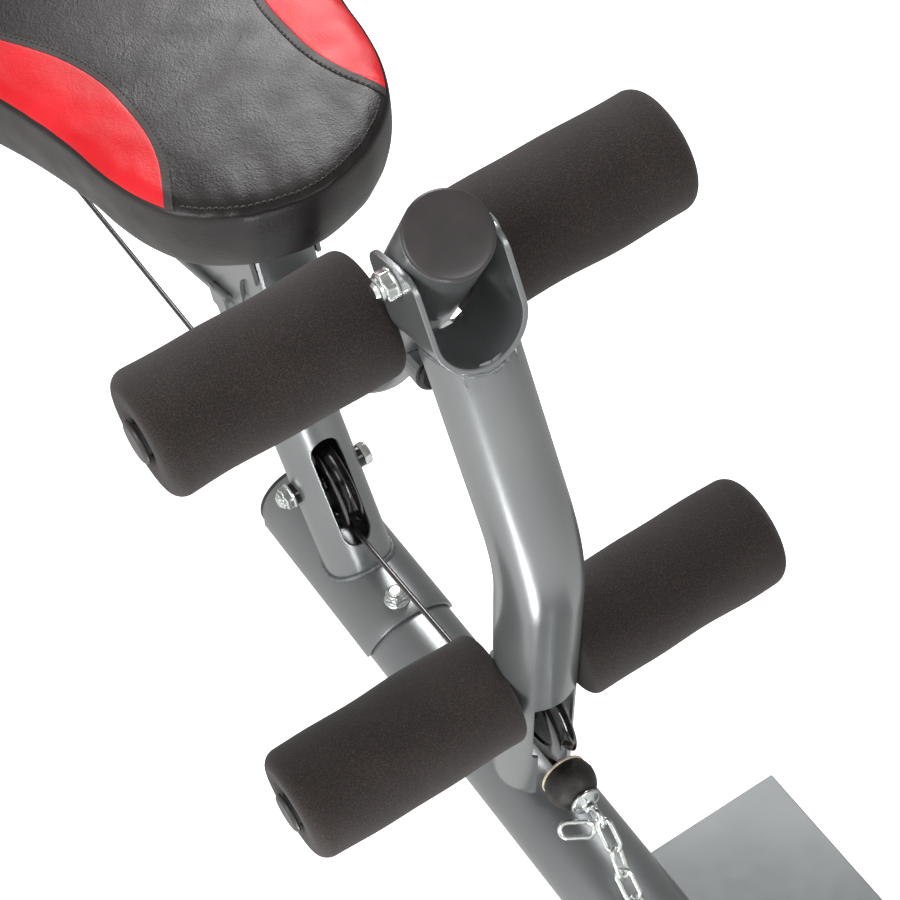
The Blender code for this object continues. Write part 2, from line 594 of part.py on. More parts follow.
def build_cable():
    bottom = POST_AXLE.z - GROOVE_R - CABLE_R - GAP
    pin = Vector((0.0, 0.5550, 0.0960))
    wrap = [Vector((0.0, POST_AXLE.y + (GROOVE_R + CABLE_R + GAP) * math.sin(math.radians(a)),
                    POST_AXLE.z - (GROOVE_R + CABLE_R + GAP) * math.cos(math.radians(a)))) for a in (6, 2, -2, -6)]
    route = [pin, Vector((0.0, 0.30, bottom + 0.0015))] + wrap + [
        Vector((0.0, -0.12, 0.1030)), Vector((0.0, -0.2450, 0.1140))]
    rod("cable", smooth_route(route, 0.030), CABLE_R, BLACK, 2)
    eye = turned("cable_rear_eye", [(0.0, 0.0180), (0.0042, 0.0180), (0.0042, 0.0), (0.0, 0.0)],
                 pin + Y * GAP, Y, ZINC, 16)
    tab = box("cable_rear_eye_tab", (0.0050, 0.0260, 0.0160), pin + Y * 0.028, None)
    eye_hole = cylinder("cable_rear_eye_hole", pin + Y * 0.033, X, BOLT_R + GAP, 0.04, None, 20)
    combine(eye, tab, operation="UNION")
    combine(eye, eye_hole)
    lug = box("cable_lug", (0.0050, 0.0340, 0.0700), pin + Vector((0.0050 + GAP, 0.0390, 0.020)), PAINT)
    combine(lug, eye_hole, rod("cable_lug_seat", [main_point(0.4), main_point(0.8)], PIPE_R + GAP))
    bolt("cable_anchor_bolt", across(pin + Y * 0.033, 0.0078 + 2 * GAP), X, 0.0150, head_af=0.0130,
         head_h=0.0050)

    stop_back = WASHER_Y + 0.0010
    rod("cable_tip", [Vector((0.0, -0.2455, CABLE_Z - 0.0022)), Vector((0.0, -0.2700, CABLE_Z)),
                      Vector((0.0, stop_back + GAP, CABLE_Z))], CABLE_R, BLACK, 2)
    washer = [(0.0, 0.0010), (0.0162, 0.0010), (0.0170, 0.0004), (0.0170, -0.0004), (0.0162, -0.0010), (0.0, -0.0010)]
    turned("stop_washer", washer, Vector((0.0, WASHER_Y, CABLE_Z)), Y, BRASS, 32)
    flat_back = BALL_Y - WASHER_Y + 0.0010 + GAP
    flat_front = BALL_Y - CUP_Y - 0.0015 - GAP
    ball = [(0.0, -flat_back)]
    for step in range(13):
        angle = math.radians(68 - (68 + 62) * step / 12)
        height = max(-flat_front, min(-flat_back, BALL_R * math.sin(angle)))
        ball.append((BALL_R * math.cos(angle), height))
    ball.append((0.0, -flat_front))
    turned("stop_ball", ball, Vector((0.0, BALL_Y, CABLE_Z)), Y, RUBBER, 32)
    cup = turned("cable_eye", [(0.0, 0.0015), (0.0105, 0.0015), (0.0105, -0.0005), (0.0050, -0.0020),
                               (0.0045, -0.0080), (0.0, -0.0080)], Vector((0.0, CUP_Y, CABLE_Z)), Y, ZINC, 28)
    loop = turned("cable_eye_loop", [(0.0045, 0.0020), (0.0090, 0.0020), (0.0090, -0.0020), (0.0045, -0.0020)],
                  Vector((0.0, CUP_Y - 0.0150, CABLE_Z)), X, None, 24, ring=True)
    combine(cup, loop, operation="UNION")

    chain_path = [Vector((0.0, CUP_Y - 0.0420, 0.1000)), Vector((0.0, CUP_Y - 0.0470, 0.0840)),
                  Vector((0.0, CUP_Y - 0.0600, 0.0710)), Vector((0.0, CUP_Y - 0.0820, CHAIN_REST_Z)),
                  Vector((0.0, FLOOR_FRONT + 0.020, CHAIN_REST_Z))]
    rod("chain", smooth_route(chain_path, 0.020), 0.0068, ZINC, 3)


# ---- seat --------------------------------------------------------------------------------------

def seat_outline(grow=0.0):
    """Plan of the seat: a round nose, shoulders, and sides that widen to the rear."""
    half = [(0.0460, -0.1150), (0.0800, -0.0830), (0.0945, -0.0400), (0.1030, 0.0200), (0.1190, 0.0900),
            (0.1440, 0.1800), (0.1350, 0.2300)]
    right = [(x + grow, y + (grow if y > 0 else -grow)) for x, y in half]
    left = [(-x, y) for x, y in reversed(right)]
    return [(0.0, -0.1270 - grow)] + right + [(0.0, 0.2390 + grow)] + left


def build_seat():
    low = main_point(SEAT_POST_Y).z
    height = RAIL_LOW - GAP - low
    post = box("seat_post", (2 * SEAT_POST_HALF, 0.0440, height),
               (0.0, SEAT_POST_Y, low + height / 2), PAINT, 0.0030)
    inside = box("seat_post_inside", (2 * SEAT_POST_HALF - 2 * WALL, 0.0440 - 2 * WALL, height + 0.05),
                 (0.0, SEAT_POST_Y, low + height / 2))
    path = arc_path(CAP_END, MAIN_BEND, main_point(REAR_Y), BEND_R, 8)
    combine(post, inside, rod("seat_post_foot", path, PIPE_R + GAP))
    middle = (SEAT_POST_Y - 0.022 + RAIL_REAR) / 2
    rail = box("seat_rail", (2 * RAIL_HALF, RAIL_REAR - SEAT_POST_Y + 0.022, RAIL_HIGH - RAIL_LOW),
               (0.0, middle, (RAIL_HIGH + RAIL_LOW) / 2), PAINT, 0.0020)
    rail_inside = box("seat_rail_inside", (2 * RAIL_HALF - 2 * WALL, 0.5, RAIL_HIGH - RAIL_LOW - 2 * WALL),
                      (0.0, middle, (RAIL_HIGH + RAIL_LOW) / 2))
    combine(rail, rail_inside)
    board = outline_plate("seat_board", seat_outline(-0.034), 0.0125, WOOD, True, 0.0, 3)
    board.location = (0.0, 0.0, RAIL_HIGH + GAP + 0.00625)
    pad = outline_plate("seat_pad", seat_outline(), SEAT_HIGH - SEAT_LOW, VINYL, True, 0.0080, 5)
    pad.location = (0.0, 0.0, (SEAT_HIGH + SEAT_LOW) / 2)

    inner = SEAT_POST_HALF + GAP
    for name, side in (("seat_gusset_left", -1), ("seat_gusset_right", 1)):
        outline = [(GUSSET_ARC[0] + GUSSET_R * math.cos(math.radians(a)),
                    GUSSET_ARC[1] + GUSSET_R * math.sin(math.radians(a))) for a in range(0, 81, 10)]
        outline += [(SEAT_POST_Y - 0.0220, RAIL_LOW - GAP), (GUSSET_REAR, RAIL_LOW - GAP),
                    (GUSSET_REAR, main_point(GUSSET_REAR).z), (0.0, main_point(0.0).z)]
        plate = side_plate(name, outline, side * (inner + GUSSET_T / 2), GUSSET_T, PAINT)
        combine(plate, rod(name + "_foot", path, PIPE_R + GAP))


# ---- backrest ----------------------------------------------------------------------------------

def back_place(u, w, x=0.0):
    """Point of the backrest: u along it from the hinge, w out of its face."""
    a = math.radians(BACK_ANGLE)
    return BACK_HINGE + Vector((x, u * math.cos(a) - w * math.sin(a), u * math.sin(a) + w * math.cos(a)))


def build_back_support():
    """Rear post under the seat rail, the two ears that hold the hinge, and the lock pin."""
    low = main_point(REAR_POST_Y).z
    height = RAIL_LOW - GAP - low
    post = box("rear_post", (0.0400, 0.0400, height), (0.0, REAR_POST_Y, low + height / 2), PAINT, 0.0030)
    inside = box("rear_post_inside", (0.0360, 0.0360, height + 0.05), (0.0, REAR_POST_Y, low + height / 2))
    combine(post, inside, rod("rear_post_foot", [main_point(0.0), main_point(0.5)], PIPE_R + GAP))
    pin = BACK_HINGE + Vector((0.0, QUAD_HOLE_R * math.cos(math.radians(PIN_ANGLE)),
                               QUAD_HOLE_R * math.sin(math.radians(PIN_ANGLE))))
    outline = [(0.2070, 0.3350), (0.2070, 0.4280), (0.2560, 0.4740), (0.2640, 0.5010), (0.2800, 0.5080), (0.2980, 0.5020),
               (0.3590, 0.4000), (0.3590, 0.3720), (0.3380, 0.3600)]
    right_x = SPINE_HALF + GAP + EAR_T / 2
    left_x = -(SPINE_HALF + 2 * GAP + QUAD_T + EAR_T / 2)
    right = side_plate("back_ear_right", outline, right_x, EAR_T, PAINT)
    left = side_plate("back_ear_left", outline, left_x, EAR_T, PAINT)
    block_w = -left_x - EAR_T / 2 - SPINE_HALF + 0.0010
    block = box("back_ear_block", (block_w, 0.0340, 0.0120),
                (left_x + EAR_T / 2 - 0.0010 + block_w / 2 - GAP, REAR_POST_Y, 0.3430))
    guide = cylinder("back_ear_guide", across(pin, left_x - 0.0060), X, 0.0100, 0.0120, None, 24)
    combine(left, block, guide, operation="UNION")
    hinge_hole = cylinder("back_ear_hinge_hole", BACK_HINGE, X, BOLT_R + GAP, 0.1, None, 20)
    combine(left, hinge_hole, cylinder("back_ear_pin_hole", across(pin, left_x), X, PIN_R + GAP, 0.04, None, 20))
    combine(right, hinge_hole)
    bolt("back_hinge_bolt", across(BACK_HINGE, right_x + EAR_T / 2 + GAP), X, right_x - left_x + EAR_T + 0.0080)

    reach = -left_x + 0.0390
    tip = left_x + EAR_T / 2 - 0.0005
    shape = [(0.0, reach), (0.0095, reach), (0.0125, reach - 0.0030), (0.0125, reach - 0.0170),
             (0.0100, reach - 0.0200), (PIN_R, reach - 0.0200), (PIN_R, -tip), (0.0, -tip)]
    turned("lock_pin", shape, across(pin, 0.0), -X, BLACK, 24)


def build_backrest():
    """Backrest: spine tube, quadrant plate, board and pad, all turning on the hinge bolt."""
    end = BACK_START + BACK_LENGTH
    length = end - 0.0500 + 0.0180
    spine = box("back_spine", (2 * SPINE_HALF, length, SPINE_T), back_place(length / 2 - 0.0180, SPINE_W),
                PAINT, 0.0025, BACK_ANGLE)
    hollow = box("back_spine_inside", (2 * SPINE_HALF - 2 * WALL, 1.5, SPINE_T - 2 * WALL),
                 back_place(0.4, SPINE_W), None, 0.0, BACK_ANGLE)
    hinge_hole = cylinder("back_spine_hole", BACK_HINGE, X, BOLT_R + GAP, 0.1, None, 20)
    combine(spine, hollow, hinge_hole)

    def polar(radius, angle):
        a = math.radians(angle)
        return BACK_HINGE.y + radius * math.cos(a), BACK_HINGE.z + radius * math.sin(a)

    outline = [polar(QUAD_R, a) for a in range(-98, -6, 7)]
    outline += [polar(0.0700, 20), polar(0.0700, 45), polar(0.0200, 90), polar(0.0200, 135), polar(0.0200, 180),
                polar(0.0200, 225)]
    quadrant = side_plate("back_quadrant", outline, -(SPINE_HALF + GAP + QUAD_T / 2), QUAD_T, PAINT)
    combine(quadrant, cylinder("quadrant_hinge_hole", BACK_HINGE, X, BOLT_R + GAP, 0.1, None, 20))
    for angle in STOPS:
        y, z = polar(QUAD_HOLE_R, angle)
        combine(quadrant, cylinder(f"quadrant_stop_{-angle}", (-0.0230, y, z), X, PIN_R + 2 * GAP, 0.03, None, 16))

    middle = BACK_START + BACK_LENGTH / 2
    face = SPINE_W + SPINE_T / 2 + GAP
    box("back_board", (BACK_WIDTH - 0.0300, BACK_LENGTH - 0.0300, 0.0120), back_place(middle, face + 0.0060),
        WOOD, 0.0010, BACK_ANGLE)
    half = BACK_LENGTH / 2
    outline = [(0.0, -half), (0.0750, -half + 0.004), (0.1100, -half + 0.045), (0.1120, -0.1200),
               (BACK_WIDTH / 2, 0.1000), (0.1220, half - 0.0600), (0.0800, half - 0.0050), (0.0, half)]
    outline += [(-x, y) for x, y in reversed(outline[1:-1])]
    pad = outline_plate("back_pad", outline, BACK_PAD_T, VINYL, True, 0.0080, 5)
    pad.location = back_place(middle, face + 0.0120 + GAP + BACK_PAD_T / 2)
    pad.rotation_euler = (math.radians(BACK_ANGLE), 0.0, 0.0)


def build_keeper():
    """Rod and tab on the main tube's left side that keep the slack cable in line."""
    side = -(PIPE_R + KEEPER_R + GAP)
    keeper = rod("cable_keeper", [across(main_point(y), side) for y in (0.1060, 0.0180)], KEEPER_R, PAINT, 4)
    tab = box("cable_keeper_tab", (0.0028, 0.0240, 0.0200), across(main_point(0.0350), side - 0.0010) - Z * 0.0090)
    combine(keeper, tab, operation="UNION")


def main():
    build_floor()
    build_post()
    build_main_tube()
    build_developer()
    build_rollers()
    build_cable()
    build_seat()
    build_back_support()
    build_backrest()
    build_keeper()


main()
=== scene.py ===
import json
import math

import bmesh
import bpy
import numpy as np
from mathutils import Matrix, Vector


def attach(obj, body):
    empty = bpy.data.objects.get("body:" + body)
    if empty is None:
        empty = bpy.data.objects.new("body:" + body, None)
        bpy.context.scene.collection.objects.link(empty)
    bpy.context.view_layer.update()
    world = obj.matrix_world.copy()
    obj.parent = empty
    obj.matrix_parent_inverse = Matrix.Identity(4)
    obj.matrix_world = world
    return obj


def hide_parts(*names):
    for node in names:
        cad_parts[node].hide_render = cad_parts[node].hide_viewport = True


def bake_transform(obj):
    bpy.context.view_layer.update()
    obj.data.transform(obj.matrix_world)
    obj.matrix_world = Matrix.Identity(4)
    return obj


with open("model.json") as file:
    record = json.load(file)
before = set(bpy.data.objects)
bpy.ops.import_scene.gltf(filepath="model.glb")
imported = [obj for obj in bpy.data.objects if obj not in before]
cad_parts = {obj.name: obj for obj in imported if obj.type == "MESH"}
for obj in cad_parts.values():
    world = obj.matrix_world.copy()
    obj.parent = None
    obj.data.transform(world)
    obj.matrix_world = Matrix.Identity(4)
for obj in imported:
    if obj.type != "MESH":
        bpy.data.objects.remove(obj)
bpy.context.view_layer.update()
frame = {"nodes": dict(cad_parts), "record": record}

# The bench's own layout: x across, y from the front post's foot towards the backrest, z up from the
# floor tube's underside. OFFSET carries a point of that layout into the frame's coordinates. Metres.
OFFSET = np.array((0.0, -0.22193, 0.0043))
X = np.array((1.0, 0.0, 0.0))
Y = np.array((0.0, 1.0, 0.0))
Z = np.array((0.0, 0.0, 1.0))
GAP = 0.0003
WALL = 0.0020
PIPE_R = 0.0254
POST_R = 0.0270
OVAL_A, OVAL_B = 0.0347, 0.0302
FLOOR_REAR, FLOOR_FRONT = 0.0870, -0.5700
SADDLE_T, SADDLE_REAR, SADDLE_FRONT, SADDLE_SKIRT = 0.0030, 0.0780, -0.0915, 0.0310
SADDLE_BOLT_Y = -0.0730
BOLT_R = 0.0050
POST_FOOT = np.array((0.0, 0.0, 0.1000))
POST_UP = np.array((0.0, 0.2600, 1.0)) / math.hypot(0.2600, 1.0)
POST_AXLE = np.array((0.0, 0.0086, 0.1325))
PULLEY_R, PULLEY_HALF_W, GROOVE_R = 0.0425, 0.0070, 0.0360
CABLE_R = 0.0022
CAP_END = np.array((0.0, -0.3030, 0.6375))
MAIN_BEND = np.array((0.0, -0.1390, 0.3880))
MAIN_SLOPE = -0.3190
MAIN_REAR = np.array((0.0, 1.0039, 0.0237))
BEND_R = 0.1600
HINGE = np.array((0.0, -0.2872, 0.6101))
DEV_DOWN = np.array((0.0, -0.0350, -0.1480)) / math.hypot(0.0350, 0.1480)
DEV_FRONT = np.array((0.0, DEV_DOWN[2], -DEV_DOWN[1]))
DEV_ELBOW = np.array((0.0, -0.3381, 0.3947))
DEV_BOTTOM = np.array((0.0, -0.2587, 0.0790))
DEV_AXLE = np.array((0.0, -0.2825, 0.1775))
YOKE_IN, YOKE_OUT, YOKE_HALF_W, YOKE_CENTRE, YOKE_TOP = 0.0262, 0.0297, 0.0265, 0.0340, 0.0115
YOKE_START = 0.0400
TOP_ROD = np.array((0.0, -0.2367, 0.5421))
LOW_ROD = np.array((0.0, -0.2904, 0.2292))
ROD_R, FOAM_R = 0.0095, 0.0400
TOP_FOAM, LOW_FOAM = (0.0257, 0.1764), (0.0257, 0.1813)
CABLE_Z, WASHER_Y, BALL_Y, CUP_Y, BALL_R = 0.1165, -0.2985, -0.3155, -0.3335, 0.0180
SEAT_CENTRE_Y = 0.0500
BACK_HINGE = np.array((0.0, 0.2800, 0.4850))
BACK_ANGLE = math.radians(45.0)
BACK_START, BACK_LENGTH, BACK_PAD_T = 0.0560, 0.6400, 0.0520


# ---- materials ---------------------------------------------------------------------------------

def linear(code):
    """sRGB hex to linear RGBA."""
    channels = [int(code[i:i + 2], 16) / 255 for i in (1, 3, 5)]
    return (*(c / 12.92 if c <= 0.04045 else ((c + 0.055) / 1.055) ** 2.4 for c in channels), 1.0)


def add_node(mat, kind, inputs=None, **settings):
    """One node with its settings, its constants and its links."""
    made = mat.node_tree.nodes.new(kind)
    for key, value in settings.items():
        setattr(made, key, value)
    for key, value in (inputs or {}).items():
        if isinstance(value, bpy.types.NodeSocket):
            mat.node_tree.links.new(value, made.inputs[key])
        else:
            made.inputs[key].default_value = value
    return made


def new_material(name, **constants):
    """A material whose shader's own sockets hold its constants."""
    mat = bpy.data.materials.new(name)
    mat.use_nodes = True
    shader = mat.node_tree.nodes["Principled BSDF"]
    for key, value in constants.items():
        shader.inputs[key.replace("_", " ")].default_value = value
    return mat, shader


def tinted(mat, shader, low, high, size, detail=2.0, spread=(0.35, 0.65), vector=None):
    """Colour that drifts between two tints over patches of a size in metres."""
    vector = vector or add_node(mat, "ShaderNodeTexCoord").outputs["Object"]
    noise = add_node(mat, "ShaderNodeTexNoise", {"Vector": vector, "Scale": 1 / size, "Detail": detail})
    share = add_node(mat, "ShaderNodeMapRange",
                     {"Value": noise.outputs["Fac"], "From Min": spread[0], "From Max": spread[1]})
    mix = add_node(mat, "ShaderNodeMix", {0: share.outputs["Result"], 6: linear(low), 7: linear(high)},
                   data_type="RGBA")
    mat.node_tree.links.new(mix.outputs[2], shader.inputs["Base Color"])
    return vector, noise, mix


def rough_between(mat, shader, vector, size, low, high):
    """Roughness that drifts between two values over patches of a size in metres."""
    noise = add_node(mat, "ShaderNodeTexNoise", {"Vector": vector, "Scale": 1 / size, "Detail": 0.0})
    rough = add_node(mat, "ShaderNodeMapRange", {"Value": noise.outputs["Fac"], "From Min": 0.2,
                                                 "From Max": 0.8, "To Min": low, "To Max": high})
    mat.node_tree.links.new(rough.outputs["Result"], shader.inputs["Roughness"])


def bumped(mat, shader, height, depth, strength=1.0, under=None):
    """Bump of a depth in metres, on top of another bump's normal."""
    inputs = {"Height": height, "Distance": depth, "Strength": strength}
    if under is not None:
        inputs["Normal"] = under
    bump = add_node(mat, "ShaderNodeBump", inputs)
    mat.node_tree.links.new(bump.outputs["Normal"], shader.inputs["Normal"])
    return bump.outputs["Normal"]


def make_paint():
    """Powder-coated steel tube, silver with fine metal flake and a slight orange peel."""
    mat, shader = new_material("silver_powder_coat", Metallic=0.60, Coat_Weight=0.30, Coat_Roughness=0.14)
    vector, _, mix = tinted(mat, shader, "#818486", "#8b8e8f", 0.060, 0.0, (0.2, 0.8))
    flake = add_node(mat, "ShaderNodeTexNoise", {"Vector": vector, "Scale": 1 / 0.0007, "Detail": 1.0})
    glint = add_node(mat, "ShaderNodeMapRange", {"Value": flake.outputs["Fac"], "From Min": 0.35,
                                                 "From Max": 0.65, "To Min": 0.98, "To Max": 1.02})
    speckled = add_node(mat, "ShaderNodeMix", {0: 1.0, 6: mix.outputs[2], 7: glint.outputs["Result"]},
                        data_type="RGBA", blend_type="MULTIPLY")
    mat.node_tree.links.new(speckled.outputs[2], shader.inputs["Base Color"])
    rough_between(mat, shader, vector, 0.012, 0.29, 0.33)
    peel = add_node(mat, "ShaderNodeTexNoise", {"Vector": vector, "Scale": 1 / 0.0030, "Detail": 0.0})
    bumped(mat, shader, peel.outputs["Fac"], 0.00001)
    return mat


def make_weld():
    """Mild-steel weld bead under the same silver powder coat, rippled and a little duller."""
    mat, shader = new_material("coated_weld_bead", Metallic=0.5)
    vector, noise, _ = tinted(mat, shader, "#6c7073", "#84888a", 0.004)
    rough_between(mat, shader, vector, 0.004, 0.38, 0.55)
    bumped(mat, shader, noise.outputs["Fac"], 0.00025)
    return mat


def make_zinc():
    """Bright zinc-plated steel, cold and bluish, with faint stains from the bath."""
    mat, shader = new_material("bright_zinc_plate", Metallic=1.0)
    vector, _, _ = tinted(mat, shader, "#d3dada", "#ebeeea", 0.005, 3.0)
    rough_between(mat, shader, vector, 0.0030, 0.20, 0.30)
    grain = add_node(mat, "ShaderNodeTexNoise", {"Vector": vector, "Scale": 1 / 0.0006, "Detail": 2.0})
    bumped(mat, shader, grain.outputs["Fac"], 0.00001)
    return mat


def make_brass():
    """Pale brass-coated washer, dulled by handling."""
    mat, shader = new_material("dull_brass_washer", Metallic=0.35)
    vector, _, _ = tinted(mat, shader, "#d6c6a6", "#f2e9d6", 0.004, 3.0)
    rough_between(mat, shader, vector, 0.003, 0.35, 0.55)
    return mat


def make_nylon():
    """Glossy moulded black nylon of the pulleys, with faint turning lines."""
    mat, shader = new_material("moulded_black_nylon", Roughness=0.18, Coat_Weight=0.3, Coat_Roughness=0.08)
    vector, noise, _ = tinted(mat, shader, "#0f0d0d", "#1d1a1a", 0.006)
    rough_between(mat, shader, vector, 0.006, 0.14, 0.28)
    bumped(mat, shader, noise.outputs["Fac"], 0.00005)
    return mat


def make_cap_plastic():
    """Satin black polyethylene of the push-in caps, finely grained, greyish where light rakes it."""
    mat, shader = new_material("satin_polyethylene_cap", Specular_IOR_Level=0.55)
    vector, _, _ = tinted(mat, shader, "#383435", "#403b3c", 0.025)
    rough_between(mat, shader, vector, 0.010, 0.33, 0.40)
    grain = add_node(mat, "ShaderNodeTexNoise", {"Vector": vector, "Scale": 1 / 0.0007, "Detail": 2.0})
    bumped(mat, shader, grain.outputs["Fac"], 0.00003)
    return mat


def make_rubber():
    """Moulded black rubber, matt, with a dusty bloom."""
    mat, shader = new_material("moulded_black_rubber")
    vector, noise, _ = tinted(mat, shader, "#191615", "#2b2725", 0.006, 4.0)
    rough_between(mat, shader, vector, 0.005, 0.42, 0.62)
    bumped(mat, shader, noise.outputs["Fac"], 0.00012)
    return mat


def make_foam():
    """Closed-cell nitrile foam, dark warm grey, with a pitted skin of cells just under a millimetre; the colour
    is painted darker down in the pits as shade.
    """
    mat, shader = new_material("closed_cell_foam", Roughness=0.95, Specular_IOR_Level=0.18, Sheen_Weight=0.15,
                               Sheen_Roughness=0.6)
    vector = add_node(mat, "ShaderNodeTexCoord").outputs["Object"]
    pits = add_node(mat, "ShaderNodeTexVoronoi", {"Vector": vector, "Scale": 1 / 0.0009, "Randomness": 1.0})
    fine = add_node(mat, "ShaderNodeTexNoise", {"Vector": vector, "Scale": 1 / 0.0008, "Detail": 3.0,
                                                "Roughness": 0.7})
    wide = add_node(mat, "ShaderNodeTexNoise", {"Vector": vector, "Scale": 1 / 0.030, "Detail": 2.0})
    # This mask gives the pits their depth in the bump and also paints shade into their colour.
    pit_depth_and_shade = add_node(mat, "ShaderNodeMath", {0: fine.outputs["Fac"], 1: pits.outputs["Distance"]},
                     operation="MULTIPLY")
    share = add_node(mat, "ShaderNodeMapRange", {"Value": pit_depth_and_shade.outputs["Value"], "From Min": 0.08,
                                                 "From Max": 0.42})
    # The skin's colour follows the pit mask: it is darker down in the pits and lighter on the cell rims. This is
    # painted shade over the foam's own dark grey.
    skin = add_node(mat, "ShaderNodeMix", data_type="RGBA",
                    inputs={0: share.outputs["Result"], 6: linear("#1d1917"), 7: linear("#39312f")})
    drift = add_node(mat, "ShaderNodeMapRange", {"Value": wide.outputs["Fac"], "From Min": 0.3,
                                                 "From Max": 0.7, "To Min": 0.90, "To Max": 1.10})
    shade = add_node(mat, "ShaderNodeMix", {0: 1.0, 6: skin.outputs[2], 7: drift.outputs["Result"]},
                     data_type="RGBA", blend_type="MULTIPLY")
    mat.node_tree.links.new(shade.outputs[2], shader.inputs["Base Color"])
    bumped(mat, shader, pit_depth_and_shade.outputs["Value"], 0.0004)
    return mat


def make_vinyl(name, low, high, rough):
    """PVC upholstery vinyl with a pebbled leather grain of about 1.2 mm and soft handling creases."""
    mat, shader = new_material(name, Specular_IOR_Level=0.40)
    vector, _, _ = tinted(mat, shader, low, high, 0.050)
    rough_between(mat, shader, vector, 0.020, rough - 0.05, rough + 0.05)
    grain = add_node(mat, "ShaderNodeTexVoronoi", {"Vector": vector, "Scale": 1 / 0.0013, "Randomness": 1.0},
                     feature="SMOOTH_F1")
    crease = add_node(mat, "ShaderNodeTexNoise", {"Vector": vector, "Scale": 1 / 0.0120, "Detail": 4.0,
                                                  "Distortion": 1.5})
    under = bumped(mat, shader, crease.outputs["Fac"], 0.00018)
    bumped(mat, shader, grain.outputs["Distance"], 0.00010, under=under)
    return mat


def make_thread():
    """Twisted polyester sewing thread, dark grey with a slight shine."""
    mat, shader = new_material("polyester_thread", Roughness=0.55, Sheen_Weight=0.3)
    _, noise, _ = tinted(mat, shader, "#2b2827", "#4d4847", 0.0012)
    bumped(mat, shader, noise.outputs["Fac"], 0.00005)
    return mat


def make_plywood():
    """Bare birch plywood: long streaks of grain along the board and a matt sawn surface."""
    mat, shader = new_material("bare_birch_plywood", Roughness=0.75)
    coords = add_node(mat, "ShaderNodeTexCoord").outputs["Object"]
    turned_grain = add_node(mat, "ShaderNodeMapping", {"Vector": coords, "Scale": (14.0, 1.0, 6.0)})
    _, noise, _ = tinted(mat, shader, "#a3835a", "#cdae80", 0.080, 6.0, vector=turned_grain.outputs["Vector"])
    bumped(mat, shader, noise.outputs["Fac"], 0.0002)
    return mat


def make_sheath():
    """Black PVC sheath over a wire rope, glossy, with the lay of the strands showing faintly."""
    mat, shader = new_material("pvc_cable_sheath", Specular_IOR_Level=0.7, Coat_Weight=0.6,
                               Coat_Roughness=0.12)
    vector, noise, _ = tinted(mat, shader, "#1d1b1a", "#2f2b29", 0.004)
    rough_between(mat, shader, vector, 0.004, 0.18, 0.30)
    bumped(mat, shader, noise.outputs["Fac"], 0.00006)
    return mat


def make_floor():
    """Seamless white studio board, faintly mottled."""
    mat, shader = new_material("white_studio_board", Roughness=0.9, Specular_IOR_Level=0.1)
    tinted(mat, shader, "#fbfbfb", "#ffffff", 0.5)
    shader.inputs["Emission Color"].default_value = linear("#ffffff")
    shader.inputs["Emission Strength"].default_value = 0.90
    return mat


PAINT = make_paint()
WELD = make_weld()
ZINC = make_zinc()
BRASS = make_brass()
NYLON = make_nylon()
CAP = make_cap_plastic()
RUBBER = make_rubber()
FOAM = make_foam()
BLACK_VINYL = make_vinyl("black_pvc_vinyl", "#1a1616", "#221d1d", 0.38)
RED_VINYL = make_vinyl("red_pvc_vinyl", "#d80f1c", "#e81c28", 0.44)
BINDING = make_vinyl("binding_tape_vinyl", "#332e2e", "#403a3a", 0.50)
THREAD = make_thread()
PLYWOOD = make_plywood()
SHEATH = make_sheath()


# ---- surfaces ----------------------------------------------------------------------------------

def unit(vector):
    return np.asarray(vector, float) / np.linalg.norm(vector)


def grid_faces(rows, cols, wrap_rows, wrap_cols, start=0):
    """Quads between neighbours of a rows by cols grid, joined round where it wraps."""
    index = np.arange(rows * cols).reshape(rows, cols) + start
    right = np.roll(index, -1, 1)
    below = np.roll(index, -1, 0)
    across = np.roll(below, -1, 1)
    quads = np.stack([index, right, across, below], -1)
    quads = quads[:rows if wrap_rows else rows - 1, :cols if wrap_cols else cols - 1]
    return quads.reshape(-1, 4).tolist()


def grid(points, wrap_rows=False, wrap_cols=True, poles=(False, False)):
    """Vertices and faces of a grid of points; a pole closes the first or last row round its middle."""
    rows, cols = points.shape[:2]
    verts = points.reshape(-1, 3)
    faces = grid_faces(rows, cols, wrap_rows, wrap_cols)
    for wanted, row, turn in ((poles[0], 0, 1), (poles[1], rows - 1, -1)):
        if wanted:
            verts = np.vstack([verts, points[row].mean(0)])
            middle = len(verts) - 1
            ring = np.arange(cols) + row * cols
            after = np.roll(ring, -1)
            fan = np.stack([np.full(cols, middle), after, ring][::turn], -1)
            faces += fan.tolist()
    return verts, faces


def join(*shells):
    """Several shells as one list of vertices and faces."""
    verts, faces, start = [], [], 0
    for shell_verts, shell_faces in shells:
        verts.append(shell_verts)
        faces += [[i + start for i in face] for face in shell_faces]
        start += len(shell_verts)
    return np.vstack(verts), faces


def add_piece(name, shape, material, body, stands_for=(), merge=False, sharp=40.0, place=None):
    """A finished mesh piece that rides on a body; place carries layout points into the frame."""
    verts, faces = shape
    verts = (verts + OFFSET) if place is None else place(verts)
    mesh = bpy.data.meshes.new(name)
    mesh.from_pydata(verts.tolist(), [], faces)
    form = bmesh.new()
    form.from_mesh(mesh)
    if merge:
        bmesh.ops.remove_doubles(form, verts=form.verts, dist=0.000002)
    bmesh.ops.recalc_face_normals(form, faces=form.faces)
    form.to_mesh(mesh)
    form.free()
    mesh.materials.append(material)
    mesh.shade_smooth()
    mesh.set_sharp_from_angle(angle=math.radians(sharp))
    piece = bpy.data.objects.new(name, mesh)
    bpy.context.scene.collection.objects.link(piece)
    if body:
        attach(piece, body)
    if stands_for:
        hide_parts(*stands_for)
    return piece


def side_ways(axis):
    """Two unit directions across an axis."""
    axis = unit(axis)
    helper = Z if abs(axis[2]) < 0.9 else X
    first = unit(np.cross(helper, axis))
    return axis, first, np.cross(axis, first)


